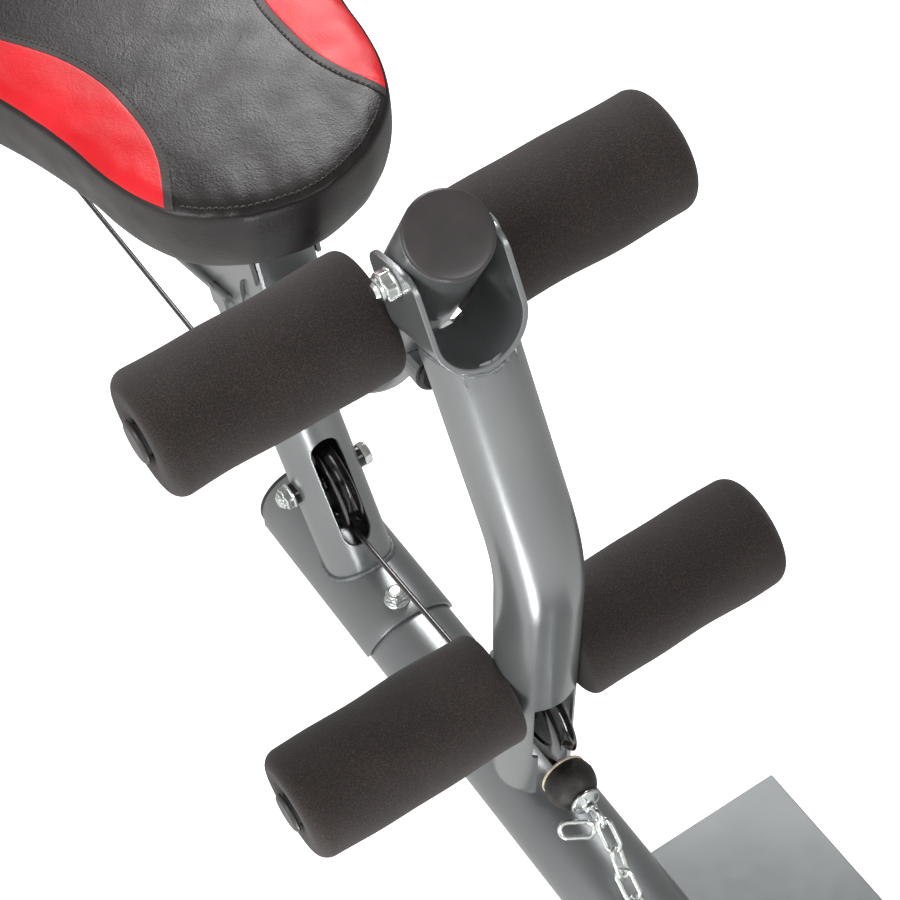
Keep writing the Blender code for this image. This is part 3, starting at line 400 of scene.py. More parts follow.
def turned(profile, place, axis, steps=96, ring=False):
    """Profile of (radius, height) rows turned round an axis: place + height axis + radius (cos, sin)."""
    axis, first, second = side_ways(axis)
    profile = np.array(profile, float)
    angle = np.linspace(0, 2 * math.pi, steps, endpoint=False)
    round_way = np.cos(angle)[:, None] * first + np.sin(angle)[:, None] * second
    points = np.asarray(place) + profile[:, 1, None, None] * axis + profile[:, 0, None, None] * round_way
    return grid(points, wrap_rows=ring, poles=(False, False) if ring else (True, True))


def soft_profile(corners, radius, steps=4):
    """Polyline of (radius, height) corners with each inner corner rounded by a quadratic arc."""
    corners = [np.array(c, float) for c in corners]
    rows = [corners[0]]
    for before, corner, after in zip(corners, corners[1:], corners[2:]):
        reach = min(radius, 0.45 * np.linalg.norm(before - corner), 0.45 * np.linalg.norm(after - corner))
        start = corner + unit(before - corner) * reach
        end = corner + unit(after - corner) * reach
        t = np.linspace(0, 1, steps + 1)[:, None]
        rows += list((1 - t) ** 2 * start + 2 * t * (1 - t) * corner + t ** 2 * end)
    rows.append(corners[-1])
    return np.array(rows)


def sweep(path, radius, sides=24, closed=False, poles=(True, True)):
    """Round bar along a path: path + radius (cos, sin) across a frame carried along without twist.
    radius is one number, or one per point."""
    path = np.asarray(path, float)
    ahead = np.roll(path, -1, 0) - np.roll(path, 1, 0)
    if not closed:
        ahead[0], ahead[-1] = path[1] - path[0], path[-1] - path[-2]
    ahead /= np.linalg.norm(ahead, axis=1)[:, None]
    helper = X if np.abs(ahead[:, 0]).max() < 0.9 else Z
    first = np.cross(ahead, helper)
    first /= np.linalg.norm(first, axis=1)[:, None]
    second = np.cross(ahead, first)
    angle = np.linspace(0, 2 * math.pi, sides, endpoint=False)
    round_way = first[:, None] * np.cos(angle)[:, None] + second[:, None] * np.sin(angle)[:, None]
    size = np.broadcast_to(np.asarray(radius, float), (len(path),))[:, None, None]
    return grid(path[:, None] + size * round_way, wrap_rows=closed, poles=(False, False) if closed else poles)


def bent_axis(start, corner, end, radius):
    """Straight, arc, straight: returns its length and a function from arc length to (point, direction)."""
    first, second = unit(start - corner), unit(end - corner)
    half = math.acos(float(first @ second)) / 2
    reach = radius / math.tan(half)
    middle = corner + unit(first + second) * radius / math.sin(half)
    before = np.linalg.norm(start - corner) - reach
    arc = radius * (math.pi - 2 * half)
    total = before + arc + np.linalg.norm(end - corner) - reach
    out = (corner + first * reach - middle) / radius

    def at(s):
        s = np.asarray(s, float)[..., None]
        turn = np.clip((s - before) / radius, 0, arc / radius)
        point = middle + radius * (np.cos(turn) * out - np.sin(turn) * first)
        ahead = -np.sin(turn) * out - np.cos(turn) * first
        point = point + ahead * (np.minimum(s - before, 0) + np.maximum(s - before - arc, 0))
        return point, ahead

    return total, at


def pipe(axis_at, stations, radius, wall=WALL, sides=96):
    """Open pipe with its wall: outer rows along the axis, then inner rows back, with softened rims."""
    soft = 0.0004
    first, last = stations[0], stations[-1]
    outer = np.concatenate([[first, first + soft], stations[1:-1], [last - soft, last]])
    outer_r = np.full(len(outer), radius)
    outer_r[[0, -1]] -= soft
    stations_all = np.concatenate([outer, outer[::-1]])
    inner_r = np.full(len(outer), radius - wall)
    inner_r[[0, -1]] += soft
    size = np.concatenate([outer_r, inner_r])[:, None, None]
    point, ahead = axis_at(stations_all)
    up = np.cross(ahead, X)
    angle = np.linspace(0, 2 * math.pi, sides, endpoint=False)[:, None]
    return grid(point[:, None] + size * (np.cos(angle) * up[:, None] + np.sin(angle) * X), wrap_rows=True)


def slotted_halves(axis_at, stations, half_width, radius, low=None, high=None, sides=56):
    """Outer skin of a pipe with a slot through front and rear. Each half runs from angle e to pi - e, where
    sin e is half_width(s) over the radius; low(angle) and high(angle) trim its two ends."""
    shells = []
    share = np.linspace(0, 1, sides)
    for side in (1, -1):
        edge = np.arcsin(np.clip(half_width(stations) / radius, 0, 0.999))[:, None]
        angle = edge + (math.pi - 2 * edge) * share
        s = np.broadcast_to(stations[:, None], angle.shape).copy()
        if low is not None:
            weight = np.clip((stations[6] - s) / (stations[6] - stations[0]), 0, 1)
            s += weight * (low(angle) - stations[0])
        if high is not None:
            weight = np.clip((s - stations[-7]) / (stations[-1] - stations[-7]), 0, 1)
            s += weight * (high(angle) - stations[-1])
        point, ahead = axis_at(s)
        front = np.cross(ahead, X)
        front *= np.sign(-front[..., 1:2])
        points = point + radius * (np.cos(angle)[..., None] * front + side * np.sin(angle)[..., None] * X)
        shells.append(grid(points, wrap_cols=False))
    return join(*shells)


def walled(piece, wall=WALL, edge=0.0005):
    """Give a skin its wall, inwards, and soften its cut edges."""
    shell = piece.modifiers.new("wall", "SOLIDIFY")
    shell.thickness = wall
    shell.offset = -1.0
    rim = piece.modifiers.new("rim", "BEVEL")
    rim.width = edge
    rim.segments = 2
    rim.limit_method = "ANGLE"
    rim.angle_limit = math.radians(50)
    return piece


# ---- frame tubes -------------------------------------------------------------------------------

def main_point(y):
    return np.array((0.0, y, 0.3335 + MAIN_SLOPE * (y - 0.0327)))


def build_tubes():
    """Main tube, floor tube, saddle plate and front post."""
    length, main_at = bent_axis(CAP_END, MAIN_BEND, MAIN_REAR, BEND_R)
    stations = np.concatenate([np.linspace(0, 0.2, 4), np.linspace(0.22, 0.38, 20),
                               np.linspace(0.42, length, 10)])
    add_piece("main_tube_skin", pipe(main_at, stations, PIPE_R), PAINT, "frame", ["main_tube"])

    angle = np.linspace(0, 2 * math.pi, 112, endpoint=False)[:, None]
    y = np.concatenate([[FLOOR_FRONT], np.linspace(FLOOR_FRONT + 0.0006, FLOOR_REAR - 0.0006, 24),
                        [FLOOR_REAR]])
    inset = np.zeros(len(y))
    inset[[0, -1]] = 0.0005
    rows = []
    for thick, order in ((0.0, slice(None)), (WALL, slice(None, None, -1))):
        shrink = (thick + (inset if thick == 0 else -inset))[order][:, None, None]
        rows.append((OVAL_A - shrink) * np.sin(angle) * X + (OVAL_B - shrink) * np.cos(angle) * Z
                    + y[order][:, None, None] * Y + OVAL_B * Z)
    add_piece("floor_tube_skin", grid(np.concatenate(rows), wrap_rows=True), PAINT, "frame", ["floor_tube"])

    a, b = OVAL_A + GAP + SADDLE_T, OVAL_B + GAP + SADDLE_T
    reach = math.acos((SADDLE_SKIRT - OVAL_B) / b)
    angle = np.linspace(-reach, reach, 96)[None, :, None]
    front_edge = SADDLE_FRONT + 0.0095 * (angle / reach) ** 2
    y = front_edge + (SADDLE_REAR - front_edge) * np.linspace(0, 1, 12)[:, None, None]
    skin = a * np.sin(angle) * X + (b * np.cos(angle) + OVAL_B) * Z + y * Y
    saddle = add_piece("saddle_plate_skin", grid(skin, wrap_cols=False), PAINT, "frame", ["saddle_plate"])
    if (saddle.data.polygons[0].normal @ Vector(saddle.data.polygons[0].center - Vector((0, 0, 0.03)))) < 0:
        saddle.data.flip_normals()
    walled(saddle, SADDLE_T, 0.0007)

    def post_at(s):
        s = np.asarray(s, float)[..., None]
        return POST_FOOT + s * POST_UP, np.broadcast_to(POST_UP, s.shape[:-1] + (3,))

    def slot(s):
        middle, half_len, half_w = 0.0315, 0.0505, 0.0120
        over = np.clip((np.abs(s - middle) - (half_len - half_w)) / half_w, 0, 1)
        return np.where(np.abs(s - middle) < half_len, half_w * np.sqrt(1 - over ** 2), 0.0)

    front = np.cross(POST_UP, X)
    front = front * np.sign(-front[1])

    def post_low(angle):
        """Height along the post where it meets the saddle's oval."""
        x = POST_R * np.sin(angle)
        top = OVAL_B + b * np.sqrt(1 - (x / a) ** 2)
        return (top - POST_FOOT[2] - POST_R * np.cos(angle) * front[2]) / POST_UP[2]

    def post_high(angle):
        """Height along the post where it meets the main tube's round."""
        x = POST_R * np.sin(angle)
        run = unit(np.array((0.0, 1.0, MAIN_SLOPE)))
        square = np.array((0.0, -run[2], run[1]))
        start = (main_point(0.0) - POST_FOOT) @ square - POST_R * np.cos(angle) * (front @ square)
        return (start - np.sqrt(np.clip(PIPE_R ** 2 - x ** 2, 0, None))) / (POST_UP @ square)

    half = np.linspace(0, math.pi / 2, 14)
    stations = np.concatenate([np.linspace(-0.036, -0.0195, 7), -0.0190 + 0.0120 * (1 - np.cos(half)),
                               np.linspace(0.0, 0.063, 8), 0.0700 + 0.0120 * np.sin(half)[:-1],
                               [0.0820], np.linspace(0.0826, 0.20, 8)])
    post = add_piece("front_post_skin", slotted_halves(post_at, stations, slot, POST_R, post_low, post_high),
                     PAINT, "frame", ["front_post"], merge=True)
    walled(post)
    foot_angle = np.linspace(0, 2 * math.pi, 220, endpoint=False)
    foot = post_at(post_low(foot_angle))[0] + (POST_R + 0.0004) * (
        np.cos(foot_angle)[:, None] * front + np.sin(foot_angle)[:, None] * X)
    add_piece("post_foot_weld", bead(foot, 0.0021, 46), WELD, "frame")
    crown = post_at(post_high(foot_angle))[0] + (POST_R + 0.0002) * (
        np.cos(foot_angle)[:, None] * front + np.sin(foot_angle)[:, None] * X)
    add_piece("post_crown_weld", bead(crown, 0.0021, 46), WELD, "frame")


def bead(path, radius, ripples, closed=True):
    """Weld bead: a bar along a path whose radius ripples like overlapped puddles."""
    share = np.linspace(0, 1, len(path), endpoint=not closed)
    phase = (share * ripples) % 1
    size = radius * (0.82 + 0.22 * np.sqrt(1 - phase ** 2)) * (1 + 0.08 * np.sin(share * 37))
    return sweep(path, size, 12, closed)


def build_developer():
    """Leg developer: slotted bent tube, the yoke over it and their weld."""
    length, dev_at = bent_axis(HINGE + DEV_DOWN * YOKE_START, DEV_ELBOW, DEV_BOTTOM, BEND_R)
    slot_top, step = length - 0.1540, length - 0.0700

    def slot(s):
        """Half width: a rounded start, 14.3 mm down to the step, then 11.2 mm to the open bottom."""
        into = np.clip((s - slot_top) / 0.0035, 0, 1)
        wide = 0.0143 * np.sqrt(1 - (1 - into) ** 2)
        narrow = 0.0031 * np.clip((s - step) / 0.0022, 0, 1)
        return wide - narrow

    half = np.linspace(0, math.pi / 2, 10)
    stations = np.concatenate([
        np.linspace(0, 0.02, 7), np.linspace(0.03, slot_top - 0.001, 40), slot_top + 0.0035 * (1 - np.cos(half)),
        np.linspace(slot_top + 0.006, step, 12), np.linspace(step + 0.0006, step + 0.0022, 4),
        np.linspace(step + 0.006, length, 9)])

    def yoke_trim(angle):
        """Where the tube meets the yoke's round underside."""
        x = PIPE_R * np.sin(angle)
        return YOKE_CENTRE + np.sqrt(YOKE_OUT ** 2 - x ** 2) - YOKE_START + 0.0010

    tube = add_piece("developer_tube_skin", slotted_halves(dev_at, stations, slot, PIPE_R, yoke_trim),
                     PAINT, "developer", ["developer_tube"], merge=True)
    walled(tube)

    angle = np.linspace(0, 2 * math.pi, 220, endpoint=False)
    ring = (HINGE + (YOKE_START + 0.0008 + yoke_trim(angle))[:, None] * DEV_DOWN
            + (PIPE_R + 0.0004) * (np.cos(angle)[:, None] * DEV_FRONT + np.sin(angle)[:, None] * X))
    add_piece("yoke_weld", bead(ring, 0.0015, 40), WELD, "developer")

    thick = YOKE_OUT - YOKE_IN
    middle = YOKE_IN + thick / 2
    down = YOKE_CENTRE + YOKE_TOP
    total = 2 * down + math.pi * middle
    s = np.concatenate([np.linspace(0, 0.0150, 16), np.linspace(0.02, down, 5),
                        np.linspace(down, total - down, 60)[1:-1], np.linspace(total - down, total - 0.02, 5),
                        np.linspace(total - 0.0150, total, 16)])
    bend = np.clip((s - down) / middle, 0, math.pi)
    depth = np.where(s < down, s - YOKE_TOP, np.where(s > total - down, total - s - YOKE_TOP,
                                                       YOKE_CENTRE + middle * np.sin(bend)))
    x = -middle * np.cos(bend)
    out_x, out_d = -np.cos(bend), np.sin(bend)
    from_top = np.minimum(s, total - s)
    round_r = 0.0130
    trim = round_r - np.sqrt(np.clip(round_r ** 2 - np.clip(round_r - from_top, 0, None) ** 2, 0, None))
    half_w = YOKE_HALF_W - trim
    soft = 0.0006
    section = [(-1, -1), (1, -1), (1, 1), (-1, 1)]
    loops = []
    for w_way, t_way in section:
        for w_in, t_in in (((soft, 0.0), (0.0, soft)) if w_way * t_way < 0 else ((0.0, soft), (soft, 0.0))):
            loops.append((w_way, t_way, w_in, t_in))
    columns = []
    for w_way, t_way, w_in, t_in in loops:
        w = w_way * (half_w - w_in)
        t = t_way * (thick / 2 - t_in)
        columns.append(HINGE + (depth + t * out_d)[:, None] * DEV_DOWN + (x + t * out_x)[:, None] * X
                       + w[:, None] * DEV_FRONT)
    add_piece("developer_yoke_skin", grid(np.stack(columns, 1), poles=(True, True)), PAINT, "developer",
              ["developer_yoke"])


# ---- hardware ----------------------------------------------------------------------------------

def hexagon(place, axis, across_flats, height, flange=0.0, dome=0.0):
    """Hexagon with its corners chamfered by a cone on top: radius = min(hexagon, cone) at each height;
    a round flange below and, on a lock nut, a domed collar above."""
    axis, first, second = side_ways(axis)
    angle = np.linspace(0, 2 * math.pi, 96, endpoint=False)
    inside = across_flats / 2
    sector = (angle + math.pi / 6) % (math.pi / 3) - math.pi / 6
    flats = inside / np.cos(sector)
    corner = inside / math.cos(math.pi / 6)
    rows = []
    base = 0.0018 if flange else 0.0
    if flange:
        rows += [(flange, 0.0, 0), (flange, 0.0009, 0), (flange - 0.0005, 0.0014, 0)]
    rows += [(1.0, base, 1), (1.0, height - 0.0016, 1)]
    rows += [(corner - drop, height - 0.0016 + rise, 2) for drop, rise in
             ((0.0, 0.0), (0.0006, 0.0005), (0.0013, 0.0010), (0.0022, 0.0014), (0.0032, 0.0016))]
    if dome:
        rows += [(inside * 0.86, height, 0), (inside * 0.84, height + dome * 0.7, 0),
                 (inside * 0.74, height + dome, 0)]
    radii = np.array([np.minimum(flats, size) if kind == 2 else (flats if kind == 1 else np.full(96, size))
                      for size, _, kind in rows])
    heights = np.array([row[1] for row in rows])
    round_way = np.cos(angle)[:, None] * first + np.sin(angle)[:, None] * second
    points = np.asarray(place) + heights[:, None, None] * axis + radii[..., None] * round_way
    return grid(points, poles=(True, True))


def threaded(start, end, radius=BOLT_R, thread=0.0):
    """Shank from start to end whose last stretch is ridged like a 1.5 mm thread, ending in a chamfer."""
    axis = np.asarray(end) - np.asarray(start)
    length = np.linalg.norm(axis)
    rows = [(radius, 0.0), (radius, length - thread)]
    count = int(thread / 0.00075)
    for i in range(1, count):
        rows.append((radius - (0.0006 if i % 2 else 0.0), length - thread + i * 0.00075))
    rows.append((radius - 0.0011, length))
    return turned(rows, start, axis, 32)


def add_bolt(name, node, body, middle, face, flats, head, over, thread, nut):
    """Hex bolt along x through middle with its nut: head on the right face, thread out past the left one."""
    right, left = middle + face * X, middle - face * X
    bolt = join(hexagon(right, X, flats, head), threaded(right, middle - (face + over) * X, thread=thread))
    add_piece(name + "_bolt_zinc", bolt, ZINC, body, [node + "_bolt"])
    add_piece(name + "_nut_zinc", hexagon(left, -X, flats, *nut), ZINC, body, [node + "_nut"])


def build_hardware():
    """Bolts, nuts and spacers of the hinge, the pulleys and the saddle."""
    add_bolt("hinge", "hinge", "developer", HINGE, YOKE_OUT + GAP, 0.0160, 0.0052, 0.0125, 0.014,
             (0.0080, 0.0093, 0.0020))
    face = POST_R + 0.0035
    add_bolt("post_axle", "post_axle", "frame", POST_AXLE, face, 0.0160, 0.0066, 0.0115, 0.013,
             (0.0076, 0.0098, 0.0020))
    spacer = soft_profile([(0.0, 0.0), (0.0086, 0.0), (0.0086, 0.0062), (0.0, 0.0062)], 0.0006)
    for name, side in (("left", -1), ("right", 1)):
        base = POST_AXLE + side * (face - 0.0064) * X
        add_piece("post_axle_spacer_" + name, turned(spacer, base, side * X, 48), NYLON, "frame")
    add_bolt("low_axle", "developer_axle", "developer", DEV_AXLE, PIPE_R + GAP, 0.0130, 0.0050, 0.0100, 0.011,
             (0.0058, 0.0080, 0.0012))
    top = np.array((0.0, SADDLE_BOLT_Y, 2 * OVAL_B + GAP + SADDLE_T))
    low = np.array((0.0, SADDLE_BOLT_Y, -GAP))
    head = soft_profile([(0.0, 0.0), (0.0105, 0.0), (0.0085, 0.0032), (0.0, 0.0036)], 0.001)
    bolt = join(threaded(low, top + 0.0115 * Z, thread=0.0120), turned(head, low, -Z, 48))
    add_piece("saddle_bolt_zinc", bolt, ZINC, "frame", ["saddle_bolt"])
    add_piece("saddle_nut_zinc", hexagon(top + GAP * Z, Z, 0.0160, 0.0074, 0.0100, 0.0020), ZINC, "frame",
              ["saddle_nut"])


def build_pulleys():
    """Grooved nylon pulleys: flat rims, a round groove floor and a raised hub."""
    groove, depth = 0.0052, 0.0055
    floor = [(GROOVE_R + (depth - depth * math.cos(a)), -groove * math.sin(a))
             for a in np.linspace(-math.pi / 2, math.pi / 2, 13)]
    w = PULLEY_HALF_W
    flank = [(BOLT_R + GAP, w), (0.0110, w), (0.0114, w - 0.0014), (0.0300, w - 0.0014), (0.0306, w - 0.0002),
             (PULLEY_R - 0.0008, w - 0.0002), (PULLEY_R, w - 0.0008)]
    profile = flank + floor + [(r, -h) for r, h in reversed(flank)]
    for body, place in (("post_pulley", POST_AXLE), ("developer_pulley", DEV_AXLE)):
        add_piece(body + "_nylon", turned(profile, place, X, 120, ring=True), NYLON, body, [body], sharp=50)


# ---- foam rollers ------------------------------------------------------------------------------

def foam_sleeve(place, inner, outer, side, seed):
    """Foam sleeve round its rod: rounded ends that pull in to the bore, and a surface that swells and dips
    by half a millimetre along it and round it."""
    half = (outer - inner) / 2
    bore = ROD_R + GAP

    def end(round_r):
        """Half section of one end, from the bore out to the side."""
        face = [(bore, half - 0.0060), (bore + 0.0006, half - 0.0030), (0.0150, half - 0.0012),
                (0.0200, half - 0.0002)]
        return face + [(FOAM_R - round_r + round_r * math.cos(a), half - round_r + round_r * math.sin(a))
                       for a in np.linspace(math.pi / 2, 0, 10)]

    side_wall = [(FOAM_R, h) for h in np.linspace(half - 0.0150, -half + 0.0110, 34)]
    profile = np.array(end(0.0105) + side_wall + [(r, -h) for r, h in reversed(end(0.0065))])
    angle = np.linspace(0, 2 * math.pi, 96, endpoint=False)
    swell = np.clip((profile[:, 0] - 0.02) / 0.02, 0, 1)[:, None]
    wave = (0.00035 * np.sin(3 * angle + 60 * profile[:, 1, None] + seed)
            + 0.00030 * np.sin(2 * angle - 95 * profile[:, 1, None] + 2 * seed)
            + 0.00035 * np.sin(41 * profile[:, 1, None] + seed))
    radius = profile[:, 0, None] + swell * (wave - 0.0006)
    centre = place + side * (inner + half) * X
    points = (centre + side * profile[:, 1, None, None] * X
              + radius[..., None] * (np.cos(angle)[:, None] * Y + np.sin(angle)[:, None] * Z))
    return grid(points, wrap_rows=True)


def build_rollers():
    """Four foam sleeves with the plugs in the ends of their rods."""
    plug_side = soft_profile([(0.0, 0.0034), (0.0118, 0.0034), (0.0138, 0.0020), (0.0138, 0.0), (0.0074, 0.0),
                              (0.0074, -0.0140), (0.0, -0.0140)], 0.0012)
    for level, place, span in (("top", TOP_ROD, TOP_FOAM), ("low", LOW_ROD, LOW_FOAM)):
        for hand, side in (("left", -1), ("right", 1)):
            name = f"roller_{level}_{hand}"
            seed = 1.7 * side + 0.9 * len(level) + place[2] * 5
            shape = foam_sleeve(place, span[0], span[1] - 0.0005, side, seed)
            sleeve = add_piece(name + "_foam", shape, FOAM, name, [name], sharp=60)
            body = "frame" if level == "top" else "developer"
            plug = turned(plug_side, place + side * (span[1] + GAP) * X, side * X, 64)
            add_piece(f"plug_{level}_{hand}_cap", plug, CAP, body, [f"plug_{level}_{hand}"])


# ---- caps, cable, stop and chain ---------------------------------------------------------------

def build_caps():
    """Push-in cap of the main tube: a low dome with a soft shoulder over the tube's rim."""
    up = unit(CAP_END - MAIN_BEND)
    rise = np.linspace(0, 1, 14)
    dome = [(0.0236 * r, 0.0022 + 0.0026 * math.sqrt(max(1 - (0.92 * r) ** 2, 0))) for r in rise]
    profile = dome + [(0.0246, 0.0028), (PIPE_R - 0.0001, 0.0018), (PIPE_R, GAP), (PIPE_R - WALL - GAP, GAP),
                      (PIPE_R - WALL - GAP, -0.0120), (0.0, -0.0120)]
    add_piece("main_tube_cap_dome", turned(profile[1:-1], CAP_END, up, 96), CAP, "frame", ["main_tube_cap"])


EYE_Y = CUP_Y - 0.0150          # middle of the cable's eye
WASHER_NEAR = 0.0085            # how much nearer the ball the washer sits than its node
CHAIN_PITCH, LINK_LENGTH = 0.0193, 0.0270


def spline(a, b, c, d, t):
    """Point at share t of the way from b to c on the Catmull-Rom curve through the four."""
    return 0.5 * (2 * b + (c - a) * t + (2 * a - 5 * b + 4 * c - d) * t ** 2
                  + (3 * b - a - 3 * c + d) * t ** 3)


def arc_length(line):
    """Length along a line at each of its points."""
    return np.concatenate([[0], np.cumsum(np.linalg.norm(np.diff(line, axis=0), axis=1))])


def read_at(where, travelled, line):
    """Points of a line at the given values of travelled."""
    return np.stack([np.interp(where, travelled, line[:, k]) for k in range(line.shape[1])], -1)


def smooth_path(points, count):
    """Uniform Catmull-Rom curve through the points, read at count even steps of its parameter."""
    points = np.asarray(points, float)
    padded = np.vstack([2 * points[0] - points[1], points, 2 * points[-1] - points[-2]])
    spans = len(points) - 1
    where = np.linspace(0, spans, count)
    i = np.minimum(where.astype(int), spans - 1)
    t = (where - i)[:, None]
    return spline(*(padded[i + k] for k in range(4)), t)


def build_cable():
    """Low cable from its rear anchor, round the post pulley to the low pulley, then its stop and eye."""
    wrap_r = GROOVE_R + CABLE_R + GAP
    bottom = POST_AXLE[2] - wrap_r
    wrap = [(0.0, POST_AXLE[1] + wrap_r * math.sin(math.radians(a)),
             POST_AXLE[2] - wrap_r * math.cos(math.radians(a))) for a in (6, 2, -2, -6)]
    route = [(0.0, 0.5550, 0.0960), (0.0, 0.30, bottom + 0.0015)] + wrap + [(0.0, -0.12, 0.1030),
                                                                               (0.0, -0.2450, 0.1140)]
    tip = [(0.0, -0.2455, CABLE_Z - 0.0022), (0.0, -0.2700, CABLE_Z), (0.0, WASHER_Y - 0.0072, CABLE_Z)]
    cable = add_piece("cable_sheath", sweep(smooth_path(route, 220), CABLE_R, 20), SHEATH, None, ["cable"])
    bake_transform(cable)
    add_piece("cable_tip_sheath", sweep(smooth_path(tip, 30), CABLE_R, 20), SHEATH, "developer",
              ["cable_tip"])

    washer = soft_profile([(0.0026, 0.0010), (0.0170, 0.0010), (0.0170, -0.0010), (0.0026, -0.0010)], 0.0008)
    washer_y = WASHER_Y - WASHER_NEAR
    ring = turned(washer, (0.0, washer_y, CABLE_Z), Y, 96, ring=True)
    add_piece("stop_washer_ring", ring, BRASS, "developer", ["stop_washer"])
    angle = np.linspace(math.radians(66), math.radians(-62), 34)
    back, front = washer_y - 0.0010 - GAP - BALL_Y, CUP_Y + 0.0015 + GAP - BALL_Y
    height = np.clip(BALL_R * np.sin(angle), front, back)
    parting = 0.00025 * np.exp(-(angle / 0.03) ** 2)
    ball = np.stack([BALL_R * np.cos(angle) + parting, height], 1)
    add_piece("stop_ball_rubber", turned(ball, (0.0, BALL_Y, CABLE_Z), Y, 96), RUBBER, "developer",
              ["stop_ball"])

    cup = soft_profile([(0.0, 0.0015), (0.0105, 0.0015), (0.0108, -0.0010), (0.0070, -0.0028),
                        (0.0046, -0.0040), (0.0044, -0.0085), (0.0, -0.0085)], 0.0012)
    around = np.linspace(0, 2 * math.pi, 48, endpoint=False)[:, None]
    eye = np.array((0.0, EYE_Y, CABLE_Z)) + 0.0070 * (np.cos(around) * Y + np.sin(around) * Z)
    end = join(turned(cup, (0.0, CUP_Y, CABLE_Z), Y, 64), sweep(eye, 0.0020, 14, True))
    add_piece("cable_eye_zinc", end, ZINC, "developer", ["cable_eye"])
    build_chain()


def chain_link(middle, along, across):
    """Welded chain link, 27 by 14 mm of 3.6 mm wire: a stadium path, long way along, short way across."""
    along, across = unit(along), np.asarray(across, float)
    across = unit(across - (across @ along) * along)
    straight, bend = 0.0064, 0.0052
    turn = np.linspace(-math.pi / 2, math.pi / 2, 12)
    one = np.stack([straight + bend * np.cos(turn), bend * np.sin(turn)], 1)
    loop = np.vstack([one, -one])
    path = np.asarray(middle) + loop[:, :1] * along + loop[:, 1:] * across
    return sweep_flat(path, 0.0018, np.cross(along, across))


def sweep_flat(path, radius, normal, sides=12):
    """Round bar round a closed flat loop whose plane has the given normal."""
    ahead = np.roll(path, -1, 0) - np.roll(path, 1, 0)
    ahead /= np.linalg.norm(ahead, axis=1)[:, None]
    outward = np.cross(ahead, normal)
    angle = np.linspace(0, 2 * math.pi, sides, endpoint=False)[:, None]
    points = path[:, None] + radius * (np.cos(angle) * outward[:, None] + np.sin(angle) * normal)
    return grid(points, wrap_rows=True)


def build_chain():
    """Chain from the eye, down and then forward over the floor tube; neighbouring links turn a quarter. One
    more link lies beside it and moves with the developer."""
    route = smooth_path([(0.000, EYE_Y - 0.0040, CABLE_Z - 0.0010), (-0.001, EYE_Y - 0.0150, 0.1090),
                         (-0.003, EYE_Y - 0.0260, 0.0985), (-0.004, EYE_Y - 0.0330, 0.0845),
                         (-0.004, EYE_Y - 0.0450, 0.0725), (-0.002, EYE_Y - 0.0660, 0.0665),
                         (-0.002, EYE_Y - 0.1300, 0.0650), (0.001, EYE_Y - 0.1700, 0.0650),
                         (0.000, EYE_Y - 0.2010, 0.0650)], 600)
    travelled = arc_length(route)
    shells = []
    for i in range(int((travelled[-1] - LINK_LENGTH) / CHAIN_PITCH) + 1):
        middle = 0.0100 + i * CHAIN_PITCH
        ahead = read_at(middle + 0.01, travelled, route) - read_at(middle - 0.01, travelled, route)
        lean = math.radians(45 + 90 * (i % 2) + 12 * math.sin(2.3 * i))
        flat_way = math.cos(lean) * X + math.sin(lean) * np.cross(unit(ahead), X)
        shells.append(chain_link(read_at(middle, travelled, route), ahead, flat_way))
    loose = np.array((-0.0150, EYE_Y + 0.0040, 0.1100))
    add_piece("loose_link", chain_link(loose, (0.85, -0.50, -0.10), (0.49, 0.60, 0.63)), ZINC, "developer",
              sharp=60)
    add_piece("chain_links", join(*shells), ZINC, "chain", ["chain"], sharp=60)


# ---- upholstery --------------------------------------------------------------------------------

def closed_outline(half, count=360):
    """Smooth closed outline from knots of its right half, front to rear, mirrored; even in arc length."""
    half = np.array(half, float)
    left = half[1:-1][::-1] * (-1, 1)
    knots = np.vstack([half, left])
    n = len(knots)
    where = np.linspace(0, n, 3000, endpoint=False)
    i = where.astype(int)
    t = (where - i)[:, None]
    dense = spline(*(knots[(i + k - 1) % n] for k in range(4)), t)
    around = np.vstack([dense, dense[:1]])
    travelled = arc_length(around)
    return read_at(np.linspace(0, travelled[-1], count, endpoint=False), travelled, around)


CORNER, CORNER_R = (0.070, -0.075), 0.030     # gathered patch of the cover
EDGE_BAND = 0.0260                            # depth of the closely spaced rings at a pad's edge


